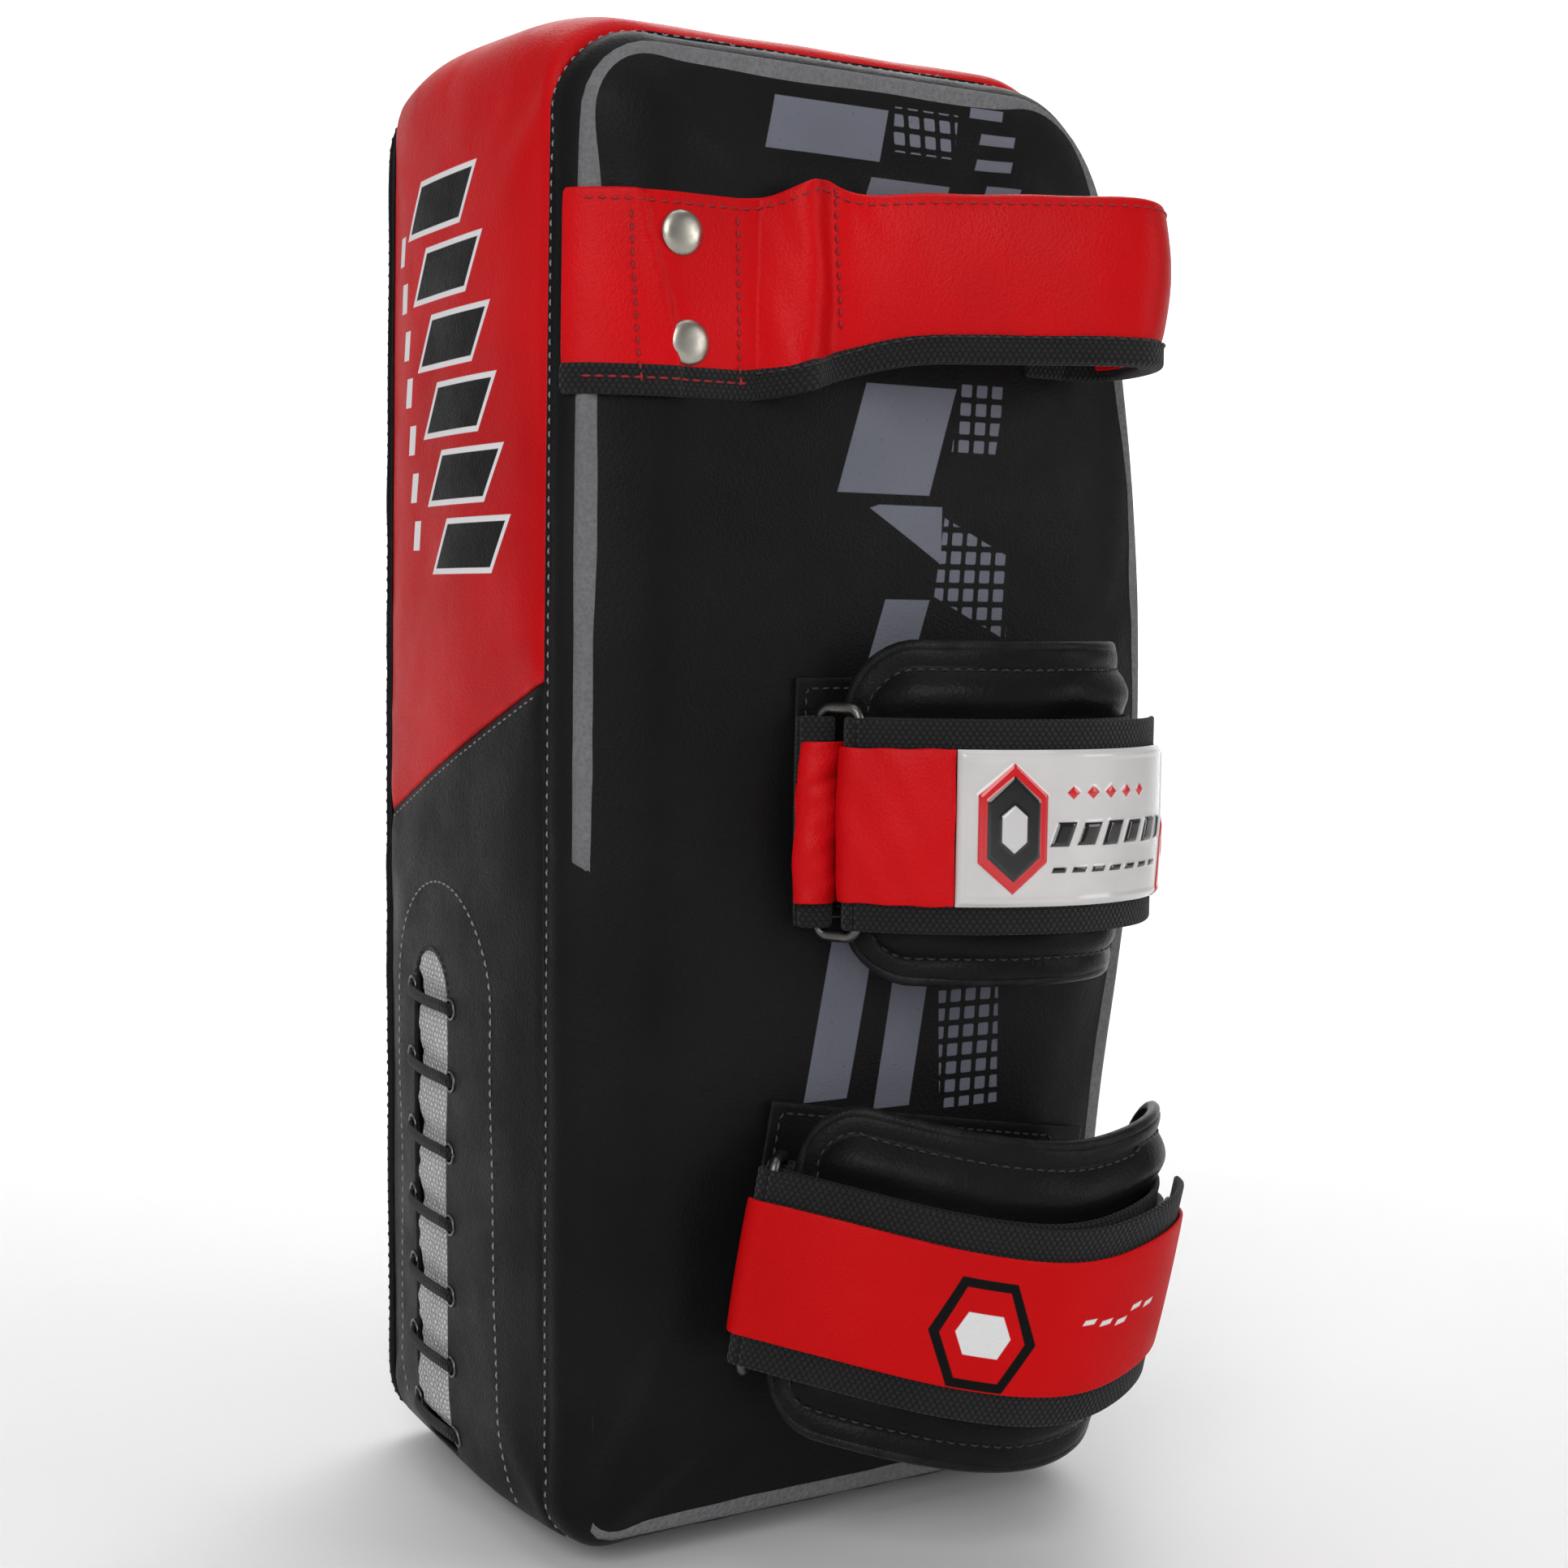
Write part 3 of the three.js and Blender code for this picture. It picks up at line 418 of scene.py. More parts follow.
def badge_rubber():
    sh = Shader("rubber_white_badge")
    u, v, _ = sh.split(sh.uv)
    u = sh.math("SUBTRACT", u, UPPER_ART_SHIFT * MM)
    depth = lambda shapes: union(sh, [polygon_depth(sh, u, v, ccw(c)) for c in shapes])
    smudge = sh.noise(sh.uv, 40, 3)
    colour = sh.mix(sh.remap(smudge, 0.35, 0.7, 0.0, 1.0), (0.66, 0.64, 0.63), (0.58, 0.565, 0.56))
    red = sh.math("MAXIMUM", inside(sh, depth([BADGE_SHIELD])),
                  inside(sh, depth(BADGE_DIAMONDS + BADGE_SLASH)))
    colour = sh.mix(red, colour, (0.60, 0.008, 0.014))
    dark = sh.math("MAXIMUM", inside(sh, depth([BADGE_SHIELD_CORE])),
                   inside(sh, depth(BADGE_BARS + BADGE_LINE)))
    colour = sh.mix(dark, colour, (0.006, 0.006, 0.007))
    colour = sh.mix(inside(sh, depth(BADGE_MARKS)), colour, (0.60, 0.59, 0.59))
    sh.set(Base_Color=colour, Roughness=sh.remap(smudge, 0.3, 0.7, 0.09, 0.2))
    sh.set(Normal=sh.bump(sh.noise(sh.uv, 420, 2), 0.05, 0.0004), Coat_Weight=0.6, Coat_Roughness=0.06)
    return sh.mat


def band_leather():
    sh = Shader("leather_red_emblem")
    tone = leather_base(sh, (0.56, 0.0025, 0.004), (0.50, 0.002, 0.0035), grain=1500.0, rough=0.50,
                        crease=0.35, gloss=0.08)
    u, v, _ = sh.split(sh.uv)
    u = sh.math("SUBTRACT", u, LOWER_ART_SHIFT * MM)
    depth = lambda shapes: union(sh, [polygon_depth(sh, u, v, ccw(c)) for c in shapes])
    ring = sh.math("SUBTRACT", inside(sh, depth([EMBLEM_HEX])), inside(sh, depth([EMBLEM_HEX_CORE])))
    colour = sh.mix(ring, tone, (0.004, 0.004, 0.004))
    white = sh.math("MAXIMUM", inside(sh, depth(EMBLEM_MARKS)), inside(sh, depth(BAND_DASHES)))
    sh.set(Base_Color=sh.mix(white, colour, (0.72, 0.72, 0.72)))
    return sh.mat


MATERIALS = {
    "back": back_leather(),
    "side": side_leather(),
    "black": leather("leather_black", BLACK, BLACK_WORN),
    "cuff": leather("leather_black_soft", BLACK, BLACK_WORN, grain=1000.0, rough=0.33, crease=1.9),
    "piping": leather("leather_black_piping", (0.008, 0.008, 0.009), BLACK_WORN, grain=1700.0,
                      rough=0.27),
    "red": leather("leather_red", RED, RED_DEEP, grain=1250.0, rough=0.35, crease=1.5),
    "band": band_leather(),
    # Woven tapes: the first colour is the painted shade of the grooves, the second the yarn crowns.
    "webbing": woven("webbing_black", (0.003, 0.003, 0.0035), (0.020, 0.020, 0.022)),
    "tongue": woven("webbing_pale", (0.30, 0.295, 0.30), (0.84, 0.83, 0.84), rib=1.7, cross=1.5,
                    depth=0.0008),
    "lace": woven("lace_cord_black", (0.004, 0.004, 0.005), (0.018, 0.018, 0.020), rib=1.1, cross=0.8,
                  depth=0.0003),
    "loop": napped("loop_tape_black", (0.006, 0.006, 0.007), (0.05, 0.05, 0.052)),
    "hook": napped("hook_tape_pale", (0.05, 0.05, 0.052), (0.20, 0.20, 0.21)),
    "badge": badge_rubber(),
    "nickel": metal("nickel", (0.50, 0.48, 0.42), rough=0.3),
    # The ring's base colour is darkened far below the nickel: painted shade and painted dark reflection of
    # the ring under the webbing.
    "ring": metal("steel_ring_painted_shade", (0.15, 0.148, 0.142), rough=0.3),
    "eyelet": metal("dark_steel_eyelet", (0.20, 0.20, 0.21), rough=0.32),
    "foam": foam("foam_grey", (0.12, 0.12, 0.125)),
    "thread_grey": thread("thread_grey", (0.30, 0.30, 0.32)),
    "thread_black": thread("thread_black", (0.022, 0.022, 0.024)),
    "thread_red": thread("thread_red", (0.33, 0.006, 0.010)),
}

# ---- mesh helpers --------------------------------------------------------------------------------
def make_object(name, points, faces, material, loop_uv=None):
    """A mesh from millimetre points, with one uv pair per face corner where given (also millimetres)."""
    mesh = bpy.data.meshes.new(name)
    mesh.from_pydata((np.asarray(points, float) * MM).tolist(), [], faces)
    if loop_uv is not None:
        layer = mesh.uv_layers.new(name="uv")
        layer.data.foreach_set("uv", (np.asarray(loop_uv, float) * MM).ravel())
    mesh.polygons.foreach_set("use_smooth", [True] * len(mesh.polygons))
    mesh.materials.append(MATERIALS[material])
    ob = bpy.data.objects.new(name, mesh)
    bpy.context.scene.collection.objects.link(ob)
    return ob


def face_out(ob):
    """Turns a closed mesh's faces outward."""
    bm = bmesh.new()
    bm.from_mesh(ob.data)
    bmesh.ops.recalc_face_normals(bm, faces=bm.faces)
    bm.to_mesh(ob.data)
    bm.free()
    return ob


def points_of(ob):
    co = np.zeros(len(ob.data.vertices) * 3)
    ob.data.vertices.foreach_get("co", co)
    return co.reshape(-1, 3) / MM


def set_points(ob, points):
    ob.data.vertices.foreach_set("co", (np.asarray(points) * MM).ravel())
    ob.data.update()


def normals_of(ob):
    n = np.zeros(len(ob.data.vertices) * 3)
    ob.data.vertices.foreach_get("normal", n)
    return n.reshape(-1, 3)


def bake(ob, *modifiers):
    """Adds modifiers given as (type, settings) and applies them."""
    for kind, settings in modifiers:
        m = ob.modifiers.new(kind.lower(), kind)
        for key, value in settings.items():
            setattr(m, key, value)
    bpy.context.view_layer.update()
    evaluated = ob.evaluated_get(bpy.context.evaluated_depsgraph_get())
    mesh = bpy.data.meshes.new_from_object(evaluated)
    ob.modifiers.clear()
    old = ob.data
    ob.data = mesh
    bpy.data.meshes.remove(old)
    mesh.name = ob.name
    return ob


def swell(ob, pinned, cap, pressure=4.0, frames=20):
    """Inflates a cover with a short cloth simulation, held at its seams, and keeps the result."""
    rest = points_of(ob)
    pins = ob.vertex_groups.new(name="pins")
    pins.add([int(i) for i in pinned], 1.0, "REPLACE")
    cloth = ob.modifiers.new("cloth", "CLOTH")
    s = cloth.settings
    s.quality = 6
    s.mass = 0.3
    s.tension_stiffness = s.compression_stiffness = 25
    s.bending_stiffness = 1.5
    s.use_pressure = True
    s.uniform_pressure_force = pressure
    s.vertex_group_mass = "pins"
    s.effector_weights.gravity = 0
    cloth.point_cache.frame_start, cloth.point_cache.frame_end = 1, frames
    scene = bpy.context.scene
    for f in range(1, frames + 1):
        scene.frame_set(f)
    result = ob.evaluated_get(bpy.context.evaluated_depsgraph_get())
    co = np.zeros(len(result.data.vertices) * 3)
    result.data.vertices.foreach_get("co", co)
    moved = co.reshape(-1, 3) / MM - rest
    ob.modifiers.remove(cloth)
    ob.vertex_groups.remove(pins)
    scene.frame_set(1)
    far = np.linalg.norm(moved, axis=1, keepdims=True)
    moved *= cap * np.tanh(far / cap) / np.maximum(far, 1e-9)
    set_points(ob, rest + moved)
    return ob


def finish_piece(ob, body, nodes=()):
    """Attaches a piece to its body's empty and hides the CAD parts it stands for; a piece that bends across
    a joint has no single body, so body is None and it stays unattached.
    """
    if body:
        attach(ob, body)
    if nodes:
        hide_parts(*nodes)
    return ob


def sweep(name, rings, material, us, vs, closed=True, caps=True):
    """Skins rings of equally many points; us runs along, vs across, both for the uv map."""
    rings = np.asarray(rings, float)
    n, m = rings.shape[:2]
    faces, uv = [], []
    across = m if closed else m - 1
    for i in range(n - 1):
        for j in range(across):
            k = (j + 1) % m
            faces.append((i * m + j, i * m + k, (i + 1) * m + k, (i + 1) * m + j))
            uv += [(us[i], vs[j]), (us[i], vs[j + 1]), (us[i + 1], vs[j + 1]), (us[i + 1], vs[j])]
    if caps and closed:
        for i, order in ((0, range(m - 1, -1, -1)), (n - 1, range(m))):
            faces.append(tuple(i * m + j for j in order))
            uv += [(us[i], vs[j]) for j in order]
    return make_object(name, rings.reshape(-1, 3), faces, material, uv)


def catmull(points, spacing=1.0):
    """The smooth line through the points, the same curve that the CAD part uses, evenly spaced."""
    p = np.array(points, float)
    last = len(p) - 1
    out = []
    for t in np.linspace(0, last, last * 60 + 1):
        i = min(int(t), last - 1)
        w = t - i
        p0, p1, p2, p3 = p[max(i - 1, 0)], p[i], p[i + 1], p[min(i + 2, last)]
        v0, v1 = (p2 - p0) / 2, (p3 - p1) / 2
        out.append((2 * p1 - 2 * p2 + v0 + v1) * w ** 3 + (-3 * p1 + 3 * p2 - 2 * v0 - v1) * w ** 2
                   + v0 * w + p1)
    return respace(np.array(out), spacing)


def lengths(line):
    return np.r_[0, np.cumsum(np.linalg.norm(np.diff(line, axis=0), axis=1))]


def respace(line, spacing=None, count=None):
    s = lengths(line)
    count = count or max(2, int(round(s[-1] / spacing)) + 1)
    at = np.linspace(0, s[-1], count)
    return np.stack([np.interp(at, s, line[:, k]) for k in range(line.shape[1])], 1)


def arc(centre, radius, angles):
    return [(centre[0] + radius * math.cos(a), centre[1] + radius * math.sin(a)) for a in angles]


def rounded_sides(corners, counts, samples):
    """Four sides from corner middle to corner middle; a corner is (centre, radius, first angle)."""
    sides, turn = [], np.linspace(0, 45, samples)
    for k in range(4):
        (c0, r0, a0), (c1, r1, a1) = corners[k], corners[(k + 1) % 4]
        line = arc(c0, r0, [math.radians(a0 + d) for d in turn])
        line += arc(c1, r1, [math.radians(a1 - 45 + d) for d in turn])
        sides.append(respace(np.array(line), count=counts[k % 2] + 1))
    return sides


def fill_inside(sides, counts, rim, first_new):
    """Fills a ring of four sides with a grid; returns the new points and the grid's faces."""
    nx, nz = counts
    bottom, right, high, left = sides[0], sides[1], sides[2][::-1], sides[3][::-1]
    index = np.zeros((nx + 1, nz + 1), int)
    for i in range(nx):
        index[i, 0], index[nx - i, nz] = rim[i], rim[nx + nz + i]
    for j in range(nz):
        index[nx, j], index[0, nz - j] = rim[nx + j], rim[2 * nx + nz + j]
    new = []
    for i in range(1, nx):
        for j in range(1, nz):
            u, v = i / nx, j / nz
            index[i, j] = first_new + len(new)
            new.append((1 - v) * bottom[i] + v * high[i] + (1 - u) * left[j] + u * right[j]
                       - (1 - u) * (1 - v) * bottom[0] - u * (1 - v) * bottom[-1]
                       - (1 - u) * v * high[0] - u * v * high[-1])
    faces = [(index[i, j], index[i + 1, j], index[i + 1, j + 1], index[i, j + 1])
             for i in range(nx) for j in range(nz)]
    return new, faces


def outward(line):
    """Unit normals of a line in x and y, away from the pad where it runs left to right."""
    t = np.gradient(line, axis=0)
    t /= np.maximum(np.linalg.norm(t, axis=1, keepdims=True), 1e-9)
    return np.stack([t[:, 1], -t[:, 0]], 1)


def slab(z0, z1, n0, n1, rows=10, crown=0.0, inner_crown=0.0, edge=None):
    """Cross-section of a strip: (distance outward, z), with rounded edges and domed faces."""
    half = (n1 - n0) / 2
    edge = min(half, (z1 - z0) / 2 - 0.01) if edge is None else edge
    mid = (n0 + n1) / 2
    f = np.linspace(0, 1, rows + 1)
    dome = np.sin(PI * f) ** 0.7
    z = z0 + edge + (z1 - z0 - 2 * edge) * f
    turn = np.radians([60, 30, 0, -30, -60])
    top = np.stack([mid + half * np.sin(turn), z1 - edge + edge * np.cos(turn)], 1)
    bottom = np.stack([mid - half * np.sin(turn), z0 + edge - edge * np.cos(turn)], 1)
    outer = np.stack([n1 + crown * dome, z], 1)
    inner = np.stack([n0 - inner_crown * dome[::-1], z[::-1]], 1)
    return np.vstack([outer, top, inner, bottom])


def strip(name, line, sections, material, shape=None):
    """A band along a line in x and y. sections is one cross-section, or one for each station."""
    line = np.asarray(line, float)
    normals = outward(line)
    many = isinstance(sections, list)
    rings = []
    for i, (p, n) in enumerate(zip(line, normals)):
        s = sections[i] if many else sections
        rings.append(np.stack([p[0] + n[0] * s[:, 0], p[1] + n[1] * s[:, 0], s[:, 1]], 1))
    rings = np.array(rings)
    if shape is not None:
        rings = shape(rings.reshape(-1, 3)).reshape(rings.shape)
    first = sections[len(sections) // 2] if many else sections
    vs = np.r_[first[:, 1], first[0, 1]]
    return face_out(sweep(name, rings, material, lengths(line), vs))


def tube(name, path, radius, material, sides=10, closed=False, flat=1.0, up=None):
    """A round or flattened cord along 3-D points."""
    path = np.asarray(path, float)
    if closed:
        tangent = np.roll(path, -1, 0) - np.roll(path, 1, 0)
    else:
        tangent = np.gradient(path, axis=0)
    tangent /= np.linalg.norm(tangent, axis=1, keepdims=True)
    reference = np.array(up if up is not None else (0, 0, 1.0))
    side = np.cross(tangent, reference)
    bad = np.linalg.norm(side, axis=1) < 1e-3
    side[bad] = np.cross(tangent[bad], (0.3, 1.0, 0.1))
    for i in range(1, len(side)):
        if side[i] @ side[i - 1] < 0:
            side[i] = -side[i]
    side /= np.linalg.norm(side, axis=1, keepdims=True)
    other = np.cross(tangent, side)
    a = np.linspace(0, 2 * PI, sides, endpoint=False)
    rings = path[:, None] + radius * (np.cos(a)[None, :, None] * side[:, None] * flat
                                      + np.sin(a)[None, :, None] * other[:, None])
    us, vs = lengths(path), np.linspace(0, 2 * PI * radius, sides + 1)
    if closed:
        rings = np.vstack([rings, rings[:1]])
        us = np.r_[us, us[-1] + np.linalg.norm(path[0] - path[-1])]
        ob = sweep(name, rings, material, us, vs, caps=False)
        bm = bmesh.new()
        bm.from_mesh(ob.data)
        bmesh.ops.remove_doubles(bm, verts=bm.verts, dist=1e-7)
        bm.to_mesh(ob.data)
        bm.free()
        return face_out(ob)
    return face_out(sweep(name, rings, material, us, vs))


def stitches(name, path, normals, body, material, pitch=3.6, length=2.5, thick=0.42, sink=0.12):
    """A row of separate thread stitches along a path, each a small bowed capsule lying on the surface."""
    path, normals = np.asarray(path, float), np.asarray(normals, float)
    s = lengths(path)
    count = max(1, int(s[-1] / pitch))
    start = (s[-1] - count * pitch) / 2 + (pitch - length) / 2
    verts, faces = [], []
    sides, steps = 6, 5
    pick = lambda q, data: np.array([np.interp(q, s, data[:, k]) for k in range(3)])
    for n in range(count):
        a, b = pick(start + n * pitch, path), pick(start + n * pitch + length, path)
        up = pick(start + n * pitch + length / 2, normals)
        up /= np.linalg.norm(up)
        along = b - a
        if np.linalg.norm(along) < 1e-6:
            continue
        along /= np.linalg.norm(along)
        side = np.cross(along, up)
        base = len(verts)
        for k in range(steps):
            t = k / (steps - 1)
            bow = math.sin(PI * t)
            r = thick * (0.45 + 0.55 * math.sin(PI * min(max(t, 0.08), 0.92)) ** 0.6)
            centre = a + (b - a) * t + up * (thick * bow * 0.8 - sink - thick * 0.35 * (1 - bow))
            for q in range(sides):
                w = 2 * PI * q / sides
                verts.append(centre + r * (math.cos(w) * side + math.sin(w) * up))
        for k in range(steps - 1):
            for q in range(sides):
                w = (q + 1) % sides
                i = base + k * sides
                faces.append((i + q, i + w, i + sides + w, i + sides + q))
        faces.append(tuple(base + q for q in range(sides - 1, -1, -1)))
        faces.append(tuple(base + (steps - 1) * sides + q for q in range(sides)))
    ob = face_out(make_object(name, verts, faces, material))
    return finish_piece(ob, body)


# ---- the stuffed pad's outline -------------------------------------------------------------------
def corner_radii(y):
    """Corner radii (bottom left, bottom right, top right, top left) at depth y."""
    t = float(smooth_step(y, -HALF_DEPTH, HALF_DEPTH))
    return 18.0, 18.0, 38 - 12 * t, 26 - 11 * t


def outline(inset, radii, counts):
    """Rounded outline, as four sides from corner middle to corner middle, in x and z."""
    bl, br, tr, tl = (max(r - inset, 0.0) for r in radii)
    x, z0, z1 = HALF_WIDTH - inset, inset, HEIGHT - TOP_SINK - inset
    corners = [((-x + bl, z0 + bl), bl, 225), ((x - br, z0 + br), br, 315),
               ((x - tr, z1 - tr), tr, 45), ((-x + tl, z1 - tl), tl, 135)]
    return rounded_sides(corners, counts, 12)


PANEL_COUNTS = (34, 74)


def panel_mesh(name, material, side):
    """One broad cover panel: a tucked seam edge, a rolled rim and a stuffed face."""
    radii = corner_radii(side * HALF_DEPTH)
    if side < 0:
        edge, top, rounding, wall = HALF_DEPTH, -BACK_Y, BACK_ROUNDING, 4.0
    else:
        edge, top, rounding, wall = HALF_DEPTH, STRIKE_Y, STRIKE_ROUNDING, 1.0
    ranks = [(SEAM_TUCK, edge + 0.1), (0.5, edge + 0.35), (0.1, edge + 1.0),
             (0.0, edge + 1.0 + wall * 0.6)]
    base = edge + wall + 0.6
    for angle in np.linspace(0, PI / 2, 11):
        ranks.append((rounding * (1 - math.cos(angle)), base + (top - base) * math.sin(angle)))
    count, rings = 2 * sum(PANEL_COUNTS), []
    for inset, y in ranks:
        sides = outline(inset, radii, PANEL_COUNTS)
        ring = np.vstack([s[:-1] for s in sides])
        rings.append(np.stack([ring[:, 0], np.full(count, side * y), ring[:, 1]], 1))
    points = list(np.vstack(rings))
    last = (len(rings) - 1) * count
    new, grid_faces = fill_inside(sides, PANEL_COUNTS, range(last, last + count), len(points))
    points += [(x, side * top, z) for x, z in new]
    faces = []
    for r in range(len(rings) - 1):
        for i in range(count):
            a, b = r * count + i, r * count + (i + 1) % count
            faces.append((a, b, b + count, a + count))
    faces += grid_faces
    if side > 0:
        faces = [f[::-1] for f in faces]
    points = puff(points)
    uv = [(points[v][0], points[v][2]) for f in faces for v in f]
    return make_object(name, points, faces, material, uv), count


def soften(ob, amount, seed, scale=60.0, keep=None):
    """Slow unevenness of a stuffed cover, along the surface normal, in millimetres."""
    rng = np.random.default_rng(seed)
    p = points_of(ob)
    n = normals_of(ob)
    total = np.zeros(len(p))
    for k in range(7):
        direction = rng.normal(size=3)
        direction /= np.linalg.norm(direction)
        size = scale * rng.uniform(0.5, 1.6)
        total += np.sin(p @ direction * 2 * PI / size + rng.uniform(0, 2 * PI)) / 7 ** 0.5
    if keep is not None:
        total = total * keep(p)
    set_points(ob, p + n * (total * amount)[:, None])


def seam_pucker(ob, seam_y, amount=0.35, pitch=7.2, reach=9.0):
    """Small gathers that run in from a sewn edge and fade out."""
    p = points_of(ob)
    n = normals_of(ob)
    away = np.min([np.abs(p[:, 1] - y) for y in seam_y], 0)
    around = np.arctan2(p[:, 2] - HEIGHT / 2, p[:, 0]) * 130 + p[:, 2] * 0.5 + p[:, 0] * 0.5
    wave = np.sin(around * 2 * PI / pitch) * 0.6 + np.sin(around * 2 * PI / (pitch * 2.7) + 1.0) * 0.6
    fade = np.exp(-away / reach) * smooth_step(away, 0.2, 2.5)
    set_points(ob, p + n * (wave * fade * amount)[:, None])


back_cover, rim = panel_mesh("back_cover", "back", -1)
swell(back_cover, range(rim), cap=2.0)
soften(back_cover, 0.35, 3, keep=lambda p: smooth_step(-p[:, 1], 58, 70))
seam_pucker(back_cover, (-HALF_DEPTH,))
bake(back_cover, ("SUBSURF", {"levels": 1, "render_levels": 1}))
strike_cover, rim = panel_mesh("strike_cover", "black", 1)
swell(strike_cover, range(rim), cap=2.5)
soften(strike_cover, 0.4, 8, keep=lambda p: smooth_step(p[:, 1], 57, 63))
seam_pucker(strike_cover, (HALF_DEPTH,))
bake(strike_cover, ("SUBSURF", {"levels": 1, "render_levels": 1}))


def split_height(y):
    return SPLIT_Z + SPLIT_SLOPE * y


# Stations across the gusset, closer together at both seams.
GUSSET_Y = [0.0, 0.4, 1.2, 2.6, 5.0, *np.linspace(9, 103, 23), 107.0, 109.4, 110.8, 111.6, 112.0]


def gusset_mesh(name, material, upper):
    """The side band between the two panels, above or below the slanted colour seam."""
    rows, steps = [], 120 if upper else 132
    for depth in GUSSET_Y:
        y = depth - HALF_DEPTH
        near = min(depth, 2 * HALF_DEPTH - depth)
        inset = SEAM_TUCK * (1 - float(smooth_step(near, 0.0, 2.6)) ** 0.6)
        sides = outline(inset, corner_radii(y), (120, 260))
        loop = np.vstack([s[:-1] for s in sides])
        cut = split_height(y) + (GAP / 2 if upper else -GAP / 2)
        high = loop[:, 1] > cut if upper else loop[:, 1] < cut
        first = next(i for i in range(len(loop)) if high[i] and not high[i - 1])
        run = np.roll(loop, -first, 0)[: int(high.sum())]
        start, end = run[0].copy(), run[-1].copy()
        start[1] = end[1] = cut
        run = respace(np.vstack([[start], run, [end]]), count=steps + 1)
        dome = math.sin(PI * depth / (2 * HALF_DEPTH)) ** 0.8
        top_dome = math.sin(PI * depth / (2 * HALF_DEPTH)) ** 0.4 if near > 0 else 0.0
        x, z = run[:, 0], run[:, 1]
        along = np.gradient(run, axis=0)
        along /= np.linalg.norm(along, axis=1, keepdims=True)
        away = np.stack([along[:, 1], -along[:, 0]], 1)
        to_top, to_bottom = smooth_step(away[:, 1], 0.05, 0.8), smooth_step(-away[:, 1], 0.2, 0.9)
        grow = 1.9 * dome * (1 - to_top) + 9.2 * top_dome * to_top + 0.3 * dome * to_bottom
        rows.append(np.stack([x + away[:, 0] * grow, np.full(len(x), y), z + away[:, 1] * grow], 1))
    rows = np.array(rows)
    shape = rows.shape
    rows = puff(rows.reshape(-1, 3)).reshape(shape)
    ob = sweep(name, rows, material, GUSSET_Y, lengths(rows[len(rows) // 2]), closed=False)
    m = shape[1]
    pins = [i for i in range(shape[0] * m) if i < m or i >= (shape[0] - 1) * m or i % m in (0, m - 1)]
    middle = len(ob.data.polygons) // 2
    p, q = ob.data.polygons[middle].center, ob.data.polygons[middle].normal
    if (Vector((0, p.y, HEIGHT / 2 * MM)) - p).dot(q) > 0:
        ob.data.flip_normals()
    return ob, pins


def tuck_split(ob, sign):
    """Rolls the edge along the slanted colour seam inward a little."""
    p = points_of(ob)
    away = np.abs(p[:, 2] - split_height(p[:, 1]))
    p[:, 0] -= np.sign(p[:, 0]) * 0.9 * (1 - smooth_step(away, 0, 2.6))
    set_points(ob, p)


gussets = {}
for label, material, upper in (("upper", "side", True), ("lower", "black", False)):
    ob, pins = gusset_mesh(f"gusset_{label}_cover", material, upper)
    swell(ob, pins, cap=1.6)
    soften(ob, 0.3, 5 if upper else 6, keep=lambda p: smooth_step(HALF_DEPTH - np.abs(p[:, 1]), 2, 14))
    seam_pucker(ob, (-HALF_DEPTH, HALF_DEPTH), amount=0.3)
    tuck_split(ob, upper)
    bake(ob, ("SUBSURF", {"levels": 1, "render_levels": 1}))
    gussets[label] = ob

for ob in (back_cover, strike_cover, *gussets.values()):
    bake(ob, ("SOLIDIFY", {"thickness": SKIN * MM, "offset": -1.0}))

# ---- skin lookup: where things sewn to the pad sit -----------------------------------------------
def tree_of(*objects):
    verts, polys = [], []
    for ob in objects:
        base = len(verts)
        verts += [v.co.copy() for v in ob.data.vertices]
        polys += [tuple(base + v for v in p.vertices) for p in ob.data.polygons]
    return BVHTree.FromPolygons(verts, polys)


skin = tree_of(back_cover, strike_cover, *gussets.values())
back_skin = tree_of(back_cover)


def back_height(x, z):
    """y of the arm-side panel's outer face at (x, z), all in millimetres."""
    hit = back_skin.ray_cast(Vector((x * MM, -0.3, z * MM)), Vector((0, 1, 0)))
    return hit[0].y / MM if hit[0] is not None else BACK_Y


def settle(points):
    """Moves strap parts that lie on the panel with the stuffed surface, fading out above it."""
    p = np.array(points, float)
    for q in p:
        if abs(q[0]) < 74:
            shift = back_height(q[0], q[2]) - BACK_Y
            q[1] += shift * math.exp(-max(BACK_Y - q[1], 0) / 9)
    return p


def hug(points, lift, tree=None):
    """The nearest place on the pad's skin, raised by lift; also gives the surface normals."""
    out, normals = [], []
    for p, h in zip(np.asarray(points, float), np.broadcast_to(lift, (len(points),))):
        loc, normal, _, _ = (tree or skin).find_nearest(Vector(p * MM))
        out.append(np.array(loc) / MM + np.array(normal) * h)
        normals.append(np.array(normal))
    return np.array(out), np.array(normals)


# ---- lacing slot ---------------------------------------------------------------------------------
SLOT_Y, SLOT_WIDTH, SLOT_TOP, SLOT_BOTTOM = 13.5, 25.0, 157.0, 8.0
LACE_ROWS, LACE_TOP, LACE_PITCH, LACE_RISE, EYELET_OFFSET = 7, 142.0, 21.0, 2.5, 15.5
EYELET_RADIUS = 2.2


def slot_outline(grow, samples=24):
    r = SLOT_WIDTH / 2 + grow
    top = SLOT_TOP + grow - r
    round_top = arc((SLOT_Y, top), r, np.linspace(0, PI, samples))
    low = SLOT_BOTTOM - grow
    return [(SLOT_Y + r, low + 3), *round_top, (SLOT_Y - r, low + 3),
            (SLOT_Y - r + 3, low), (SLOT_Y + r - 3, low)]


def prism_x(name, outline_yz, x0, x1):
    n = len(outline_yz)
    verts = [(x, y, z) for x in (x0, x1) for y, z in outline_yz]
    faces = [tuple(range(n)), tuple(range(2 * n - 1, n - 1, -1))]
    faces += [(i, (i + 1) % n, n + (i + 1) % n, n + i) for i in range(n)]
    return face_out(make_object(name, verts, faces, "black"))


